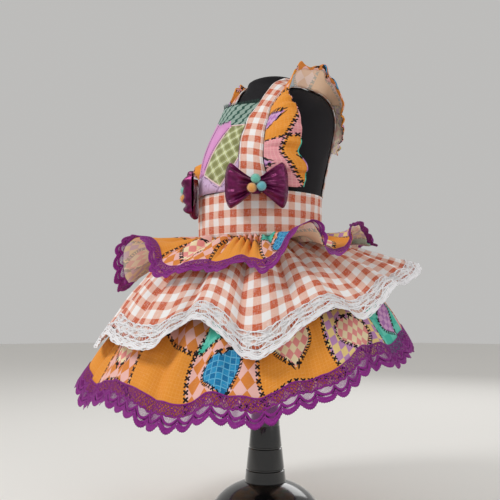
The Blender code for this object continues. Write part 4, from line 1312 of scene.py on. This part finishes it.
def along_corners(corners, start, end, steps=30):
    """Shares along the straight edges from one corner to another."""
    found = []
    for k in range(start, end):
        (a0, d0), (a1, d1) = corners[k % len(corners)], corners[(k + 1) % len(corners)]
        share = np.linspace(0, 1, steps)[:-1]
        found += list(zip(a0 + (a1 - a0) * share, d0 + (d1 - d0) * share))
    found.append(corners[end % len(corners)])
    return np.array(found)


plaid_edge = along_corners([bib_share(*corner) for corner in PLAID_CORNERS], 2, 6)
plaid_piping = piping("plaid_piping", bib_face.at(plaid_edge[:, 0], plaid_edge[:, 1],
                                                  np.full(len(plaid_edge), 0.0010)),
                      piping_pink, "pink_cotton")
dark_thread = finish("dark violet thread", ink(70, 38, 78), 0.6)[0]
violet_rows = [((-0.030, 0.5185), (-0.0085, 0.5178)), ((-0.0060, 0.509), (-0.0270, 0.450)),
               ((-0.0300, 0.5170), (-0.0340, 0.448)), ((-0.0330, 0.4425), (-0.0255, 0.4445)),
               ((-0.0240, 0.4430), (-0.0120, 0.4385)), ((-0.0120, 0.4385), (-0.0040, 0.4300)),
               ((-0.0040, 0.4300), (0.0060, 0.4255)), ((0.0100, 0.4260), (0.0300, 0.4420))]
violet_rows = [(bib_share(*start), bib_share(*end)) for start, end in violet_rows]
bib_stitches = topstitch("bib_stitches", [bib_face] * len(violet_rows), violet_rows,
                         dark_thread, "lilac_print", pitch=0.0030, out=0.0016)
FRAYED_THREADS = 150
GOLDEN_SHARE = 0.61803
shape = bmesh.new()
for k in range(FRAYED_THREADS):
    across = 0.02 + 0.96 * ((k * GOLDEN_SHARE) % 1.0)
    root = Vector(bib_face.at(np.array([across]), np.array([0.004]), np.array([0.0006]))[0])
    lean = Vector((math.sin(k * 2.3) * 0.35, -0.18 + 0.2 * math.sin(k * 1.7), 1.0)).normalized()
    length = 0.0025 + 0.0028 * (0.5 + 0.5 * math.sin(k * 3.9))
    turn = lean.to_track_quat("Z", "Y").to_matrix().to_4x4()
    bmesh.ops.create_cone(shape, segments=3, radius1=0.00022, radius2=0.00008, depth=length,
                          cap_ends=True,
                          matrix=Matrix.Translation(root + lean * length / 2) @ turn)
frayed = add_piece("neckline_frayed_threads", shape, [green_print], "green_print")


# Bows: plum satin folded into two loops, pinched by a narrow wrap, and sewn over the straps' lower
# ends. Three small felted pompoms, mint, orange and sky teal, are sewn on each wrap.
BowRow = namedtuple("BowRow", "along half_height half_depth")
BOW_ROWS = [
    BowRow(0.0000, 0.0085, 0.0046),
    BowRow(0.0065, 0.0100, 0.0050),
    BowRow(0.0130, 0.0150, 0.0056),
    BowRow(0.0250, 0.0236, 0.0078),
    BowRow(0.0345, 0.0286, 0.0060),
    BowRow(0.0390, 0.0278, 0.0018),
]
BOW_AZIMUTH = 45
BOW_BACK = 0.0915
BOW_SIDE = -0.0103
BOW_HEIGHT = 0.4240
BOW_FOLD = 0.0098
WRAP_REACH = 0.0102
SATIN_RIB = 0.0007
POMPOM_RADIUS = 0.0058
POMPOM_FIBRES = 420
GOLDEN_TURN = 2.39996
PompomPlace = namedtuple("PompomPlace", "colour along up")
POMPOM_PLACES = [
    PompomPlace("mint", -0.15, 1.15),
    PompomPlace("orange", -0.93, -0.78),
    PompomPlace("teal", 1.08, -0.45),
]

satin, shader = finish("plum satin", ink(98, 24, 86), 0.24, Metallic=0.55, Sheen_Weight=0.20,
                       Sheen_Roughness=0.3, Anisotropic=0.5)
shader.inputs["Sheen Tint"].default_value = ink(190, 80, 160)
ribs = flat_place(shader)[1]
# Painted highlight: noise lays a lighter plum over the dark satin, standing for its sheen.
painted_satin_highlight = clamp(times_plus(lumps(shader, 160, 2), 1.4, -0.3))
link(shader, tint(painted_satin_highlight, ink(76, 6, 52), ink(134, 28, 98)))
relief(shader, sine(times(ribs, 2 * math.pi / SATIN_RIB)), 0.0001, 0.35)


def bow_point(along, out, height, side):
    """Points by their places along a bow, out from the form's axis, and up; side is 1 or -1."""
    angle = math.radians(BOW_AZIMUTH)
    along = along + BOW_SIDE
    x = (math.sin(angle) * out + math.cos(angle) * along) * side
    y = -math.cos(angle) * out + math.sin(angle) * along
    return np.stack(np.broadcast_arrays(x, y, height), axis=-1)


def bow_loop(side, way, seed):
    """One loop of a bow: round its section, and along it from the pinch to its outer fold."""
    def place(across, down):
        turn = 2 * math.pi * across * way * side
        up, front = np.sin(turn), np.cos(turn)
        along = down * BOW_ROWS[-1].along
        half_height = curve(BOW_ROWS, 1, along)
        half_depth = curve(BOW_ROWS, 2, along)
        flare = np.sign(up) * np.abs(up) ** 0.85
        tip = along * (1 - 0.13 * np.abs(flare) ** 3 * down ** 2)
        folds = (np.abs(np.sin(flare * math.pi * 1.35 + seed + 0.5 * down)) ** 0.6 - 0.55
                 + 0.35 * np.sin(flare * math.pi * 4.2 + seed * 3))
        folds = folds * (1 - down) ** 0.55 * down ** 0.45 * np.minimum(front * 3, 1.0)
        dip = np.exp(-((flare - 0.30 * math.sin(seed * 2)) / 0.26) ** 2) * (1 - 0.45 * down)
        depth = half_depth * (1 + front * (1 - 0.50 * dip * (front > 0) * (down > 0.02)))
        depth = depth + np.where(front > 0, folds, 0.0) * BOW_FOLD
        lift = BOW_HEIGHT + half_height * flare * (1 + 0.05 * np.sin(seed + up * 2))
        lift = lift + 0.0012 * np.sin(down * 5 + seed)
        return bow_point(way * tip, BOW_BACK + depth, lift, side)
    return place


def bow_wrap(side):
    """The narrow wrap round a bow's pinch."""
    def place(across, down):
        turn = 2 * math.pi * across * side
        bulge = 1 - 0.25 * np.sin(math.pi * down) ** 2
        ridge = 1 + 0.07 * np.cos(turn * 7)
        along = 0.0052 * bulge * np.sin(turn) * ridge
        out = BOW_BACK + 0.0046 + (0.0058 - 0.0012 * bulge) * np.cos(turn) * ridge
        return bow_point(along, out, BOW_HEIGHT + WRAP_REACH * (1 - 2 * down), side)
    return place


def felt(name, dark, light):
    """Matted wool fibre, in two shades."""
    material, shader = finish(name, dark, 0.95, Sheen_Weight=0.8, Sheen_Roughness=0.6,
                              Specular_IOR_Level=0.15)
    link(shader, tint(lumps(shader, 900, 3), dark, light))
    relief(shader, lumps(shader, 1600, 3), 0.0005)
    return material


felts = {
    "mint": felt("mint felt", ink(72, 178, 158), ink(128, 218, 198)),
    "orange": felt("orange felt", ink(222, 142, 40), ink(248, 188, 92)),
    "teal": felt("teal felt", ink(66, 166, 180), ink(122, 208, 218)),
}
for side, name in ((1, "left"), (-1, "right")):
    shape = bmesh.new()
    layer = shape.loops.layers.uv.new("flat")
    parts = [(Surface(bow_loop(side, way, seed), 120, 40, closed=True, row=0.7), 84, 32)
             for way, seed in ((1, 0.6), (-1, 2.2))]
    parts.append((Surface(bow_wrap(side), 56, 16, closed=True, row=0.5), 42, 10))
    for face_of, columns, rows in parts:
        grid = bmesh.ops.create_grid(shape, x_segments=columns, y_segments=rows, size=0.5)
        verts = grid["verts"]
        places = {vertex: (vertex.co.x + 0.5, 0.5 - vertex.co.y) for vertex in verts}
        for face in {face for vertex in verts for face in vertex.link_faces}:
            for loop in face.loops:
                a, d = places[loop.vert]
                loop[layer].uv = (a * face_of.width, d * face_of.length)
        points = face_of.at(np.array([places[vertex][0] for vertex in verts]),
                            np.array([places[vertex][1] for vertex in verts]))
        for vertex, point in zip(verts, points):
            vertex.co = point
    bmesh.ops.remove_doubles(shape, verts=shape.verts[:], dist=0.00004)
    bmesh.ops.holes_fill(shape, edges=shape.edges[:], sides=60)
    bmesh.ops.recalc_face_normals(shape, faces=shape.faces[:])
    add_piece(f"bow_{name}_satin", shape, [satin], "plum_satin", (f"bow_{name}",))

    front = BOW_BACK + 0.0100 + POMPOM_RADIUS
    for place in POMPOM_PLACES:
        middle = Vector(bow_point(place.along * POMPOM_RADIUS, front,
                                  BOW_HEIGHT + place.up * POMPOM_RADIUS, side))
        shape = bmesh.new()
        ball = bmesh.ops.create_icosphere(shape, subdivisions=4, radius=POMPOM_RADIUS * 0.97)
        for vertex in ball["verts"]:
            vertex.co *= 1 + 0.05 * noise.noise(vertex.co * 700 + middle * 50)
        for k in range(POMPOM_FIBRES):
            height = 1 - 2 * (k + 0.5) / POMPOM_FIBRES
            turn = k * GOLDEN_TURN
            flat_radius = math.sqrt(1 - height * height)
            away = Vector((flat_radius * math.cos(turn), flat_radius * math.sin(turn), height))
            lean = (away + Vector((math.sin(k * 1.7), math.sin(k * 2.9), math.sin(k * 4.1)))
                    * 0.45).normalized()
            facing = lean.to_track_quat("Z", "Y").to_matrix().to_4x4()
            bmesh.ops.create_cone(shape, segments=3, radius1=0.00014, radius2=0.00003,
                                  depth=0.0010, cap_ends=True, matrix=Matrix.Translation(
                                      away * POMPOM_RADIUS + lean * 0.0002) @ facing)
        bmesh.ops.translate(shape, vec=middle, verts=shape.verts[:])
        add_piece(f"pompom_{name}_{place.colour}_felt", shape, [felts[place.colour]],
                  f"{place.colour}_felt", (f"pompom_{name}_{place.colour}",))


# Laces: knitted raschel lace, sewn by its straight edge to the outside of each tier so that it
# covers the cloth's edge. It is cut from thread lines, open rings, fine net and a picot edge.
LACE_OUT = 0.0009
LACE_THICKNESS = 0.0004
PURPLE_PITCH = 0.0205
WHITE_PITCH = 0.0440


def thread_strip(shape, path, width, segments, closed=False):
    """A flat thread along a path, which gives x and y at a share from 0 to 1."""
    grid = bmesh.ops.create_grid(shape, x_segments=segments, y_segments=1, size=0.5)
    for vertex in grid["verts"]:
        share = vertex.co.x + 0.5
        side = vertex.co.y * 2
        x, y = path(share)
        x0, y0 = path(share - 0.01)
        x1, y1 = path(share + 0.01)
        long = math.hypot(x1 - x0, y1 - y0) or 1.0
        vertex.co = (x - (y1 - y0) / long * side * width / 2,
                     y + (x1 - x0) / long * side * width / 2, 0.0)
    if closed:
        bmesh.ops.remove_doubles(shape, verts=grid["verts"], dist=0.00001)


def ring_path(x, y, half_long, half_wide, turn=0.0):
    """The path of an oval ring, its long half turned from the lace's length."""
    def path(share):
        a, b = half_long * math.cos(share * 2 * math.pi), half_wide * math.sin(share * 2 * math.pi)
        return (x + a * math.cos(turn) - b * math.sin(turn),
                y + a * math.sin(turn) + b * math.cos(turn))
    return path


def straight(x0, y0, x1, y1):
    return lambda share: (x0 + (x1 - x0) * share, y0 + (y1 - y0) * share)


def wave_path(pitch, y, rise, count=1.0, phase=0.0):
    return lambda share: (pitch * share, y + rise * math.cos(2 * math.pi * share * count + phase))


Hole = namedtuple("Hole", "x y half_long half_wide turn")


def net(shape, pitch, top, low, spacing, thread, holes=(), lean=1.0):
    """Slanted threads crossing both ways over a band of the lace, left out inside its holes."""
    count = round(pitch / spacing)
    rise = top - low
    steps = 26
    for k in range(2 * count):
        way = 1 if k < count else -1
        start = pitch * (k % count) / count
        run = []
        for step in range(steps + 1):
            x, y = start + way * lean * rise * step / steps, top - rise * step / steps
            free = step < steps
            for hole in holes:
                dx = (x - hole.x + pitch / 2) % pitch - pitch / 2
                dy = y - hole.y
                long = dx * math.cos(hole.turn) + dy * math.sin(hole.turn)
                wide = dy * math.cos(hole.turn) - dx * math.sin(hole.turn)
                free = free and (long / hole.half_long) ** 2 + (wide / hole.half_wide) ** 2 > 1
            run.append((x, y))
            if not free:
                if len(run) > 2:
                    thread_strip(shape, straight(*run[0], *run[-1]), thread, 1 + len(run) // 9)
                run = []


def purple_repeat(shape, pitch, depth):
    """One scallop of the purple lace: x along it, y down from its straight edge to -depth."""
    def bowl(top, low, power):
        return lambda t: (pitch * t, low * depth + (top - low) * depth * abs(2 * t - 1) ** power)

    blooms = [Hole(0.24 * pitch, -0.20 * depth, 0.0024, 0.0013, 0.7),
              Hole(0.40 * pitch, -0.13 * depth, 0.0022, 0.0012, -0.2),
              Hole(0.62 * pitch, -0.19 * depth, 0.0024, 0.0013, 2.4),
              Hole(0.80 * pitch, -0.12 * depth, 0.0019, 0.0012, 0.3),
              Hole(0.04 * pitch, -0.28 * depth, 0.0023, 0.0013, 1.3),
              Hole(0.50 * pitch, -0.31 * depth, 0.0021, 0.0013, 1.5)]
    thread_strip(shape, straight(0, -0.0006, pitch, -0.0006), 0.0012, 6)
    net(shape, pitch, -0.0010, -0.42 * depth, 0.0034, 0.00050, blooms)
    for hole in blooms:
        thread_strip(shape, ring_path(*hole), 0.0008, 8, closed=True)
    thread_strip(shape, wave_path(pitch, -0.415 * depth, 0.0011, 2.0), 0.0016, 12)
    for k in range(1, 18):
        x = pitch * k / 18
        low = -0.70 * depth + 0.27 * depth * abs(2 * k / 18 - 1) ** 2.2
        thread_strip(shape, straight(x, -0.40 * depth, x, low), 0.00045, 2)
    thread_strip(shape, bowl(-0.46, -0.700, 2.2), 0.0022, 16)
    for way in (-1, 1):
        thread_strip(shape, lambda t: (pitch * t, -0.782 * depth
                                       + 0.22 * depth * abs(2 * t - 1) ** 2.1
                                       + 0.0014 * (way if round(t * 22) % 2 else -way)),
                     0.0008, 22)
    thread_strip(shape, bowl(-0.640, -0.845, 2.0), 0.0020, 16)
    thread_strip(shape, bowl(-0.725, -0.925, 2.0), 0.0028, 16)
    for k in range(9):
        share = (k + 0.5) / 9
        y = (-0.945 + 0.185 * abs(2 * share - 1) ** 2) * depth
        thread_strip(shape, straight(pitch * share, y + 0.0008, pitch * share, y - 0.0012),
                     0.0013, 1)


def white_repeat(shape, pitch, depth):
    """One repeat of the white lace: long slanted openings between thick waving thread lines."""
    openings = [Hole(0.22 * pitch, -0.17 * depth, 0.0092, 0.0023, 0.20),
                Hole(0.71 * pitch, -0.19 * depth, 0.0104, 0.0030, -0.16),
                Hole(0.47 * pitch, -0.37 * depth, 0.0108, 0.0034, 0.15),
                Hole(0.97 * pitch, -0.38 * depth, 0.0090, 0.0030, -0.18),
                Hole(0.20 * pitch, -0.56 * depth, 0.0100, 0.0027, -0.08),
                Hole(0.72 * pitch, -0.57 * depth, 0.0108, 0.0032, 0.12),
                Hole(0.46 * pitch, -0.72 * depth, 0.0092, 0.0010, 0.0),
                Hole(0.95 * pitch, -0.73 * depth, 0.0088, 0.0011, 0.0)]
    thread_strip(shape, wave_path(pitch, -0.0010, 0.0005, 4.0), 0.0008, 24)
    net(shape, pitch, -0.0010, -0.80 * depth, 0.0016, 0.00040, openings, lean=0.12)
    for hole in openings:
        thread_strip(shape, ring_path(*hole), 0.0011, 18, closed=True)
        for k in (-0.62, -0.25, 0.12, 0.5):
            x = hole.x + k * hole.half_long * math.cos(hole.turn)
            y = hole.y + k * hole.half_long * math.sin(hole.turn)
            thread_strip(shape, straight(x - 0.0009, y + hole.half_wide, x + 0.0009,
                                         y - hole.half_wide), 0.0004, 1)
    for y, rise, count, phase, width in ((-0.280, 0.0010, 2.0, 3.1, 0.0009),
                                         (-0.475, 0.0010, 2.0, 0.2, 0.0010),
                                         (-0.800, 0.0007, 2.0, 0.2, 0.0010),
                                         (-0.865, 0.0009, 2.0, 0.2, 0.0016),
                                         (-0.930, 0.0009, 2.0, 0.6, 0.0019)):
        thread_strip(shape, wave_path(pitch, y * depth, rise, count, phase), width, 20)
    thread_strip(shape, lambda t: (pitch * t, -0.965 * depth - 0.0007
                                   * abs(math.sin(6 * math.pi * t))), 0.0009, 30)


def lace_trim(name, surface, tier, repeat, pitch, thread, slot, node):
    """Lace along a tier's edge: one repeat is drawn flat, copied round, and laid on the tier."""
    edge_length = surface.edge
    count = round(edge_length / pitch)
    pitch = edge_length / count
    start = tier.lace_start
    depth = surface.length * (1 - start)
    shape = bmesh.new()
    repeat(shape, pitch, depth)
    first = shape.verts[:] + shape.edges[:] + shape.faces[:]
    for k in range(1, count):
        copied = bmesh.ops.duplicate(shape, geom=first)
        verts = [item for item in copied["geom"] if isinstance(item, bmesh.types.BMVert)]
        bmesh.ops.translate(shape, vec=(pitch * k, 0, 0), verts=verts)
    layer = shape.loops.layers.uv.new("flat")
    for face in shape.faces:
        for loop in face.loops:
            loop[layer].uv = loop.vert.co.xy
    x = np.array([vertex.co.x for vertex in shape.verts]) % edge_length
    y = np.array([-vertex.co.y for vertex in shape.verts])
    across = surface.share_across(x)
    down = start + (1 - start) * y / depth
    over = np.maximum(down - 1, 0.0) * surface.length
    sway = waves(360 * across, (83, 59, 101), tier.seed) * 0.0008 * (down - start) / (1 - start)
    points = surface.at(across, np.minimum(down, 1.0), LACE_OUT + sway)
    points[:, 2] -= over
    for vertex, point in zip(shape.verts, points):
        vertex.co = point
    item = add_piece(name, shape, [thread], slot, (node,))
    thicken(item, LACE_THICKNESS, 0.0)
    return item


def lace_thread(name, dark, light):
    """Twisted lace thread, in two shades."""
    material, shader = finish(name, dark, 0.72, Sheen_Weight=0.1, Sheen_Roughness=0.4,
                              Specular_IOR_Level=0.3)
    link(shader, tint(lumps(shader, 700, 2), dark, light))
    u, v = flat_place(shader)
    relief(shader, sine(times(plus(u, v), 2 * math.pi / 0.0006)), 0.0001, 0.6)
    return material


# The purple thread's lighter shade is a painted highlight, laid in patches by noise.
purple_thread = lace_thread("purple lace thread", ink(112, 14, 110), ink(164, 44, 156))
white_thread = lace_thread("white lace thread", ink(242, 241, 244), ink(254, 253, 255))
lace_peplum = lace_trim("peplum_lace", peplum_face, PEPLUM, purple_repeat, PURPLE_PITCH,
                        purple_thread, "purple_lace", "lace_peplum")
lace_middle = lace_trim("middle_lace", middle_face, MIDDLE, white_repeat, WHITE_PITCH,
                        white_thread, "white_lace", "lace_middle")
lace_bottom = lace_trim("hem_lace", hem_face, HEM, purple_repeat, PURPLE_PITCH,
                        purple_thread, "purple_lace", "lace_bottom")
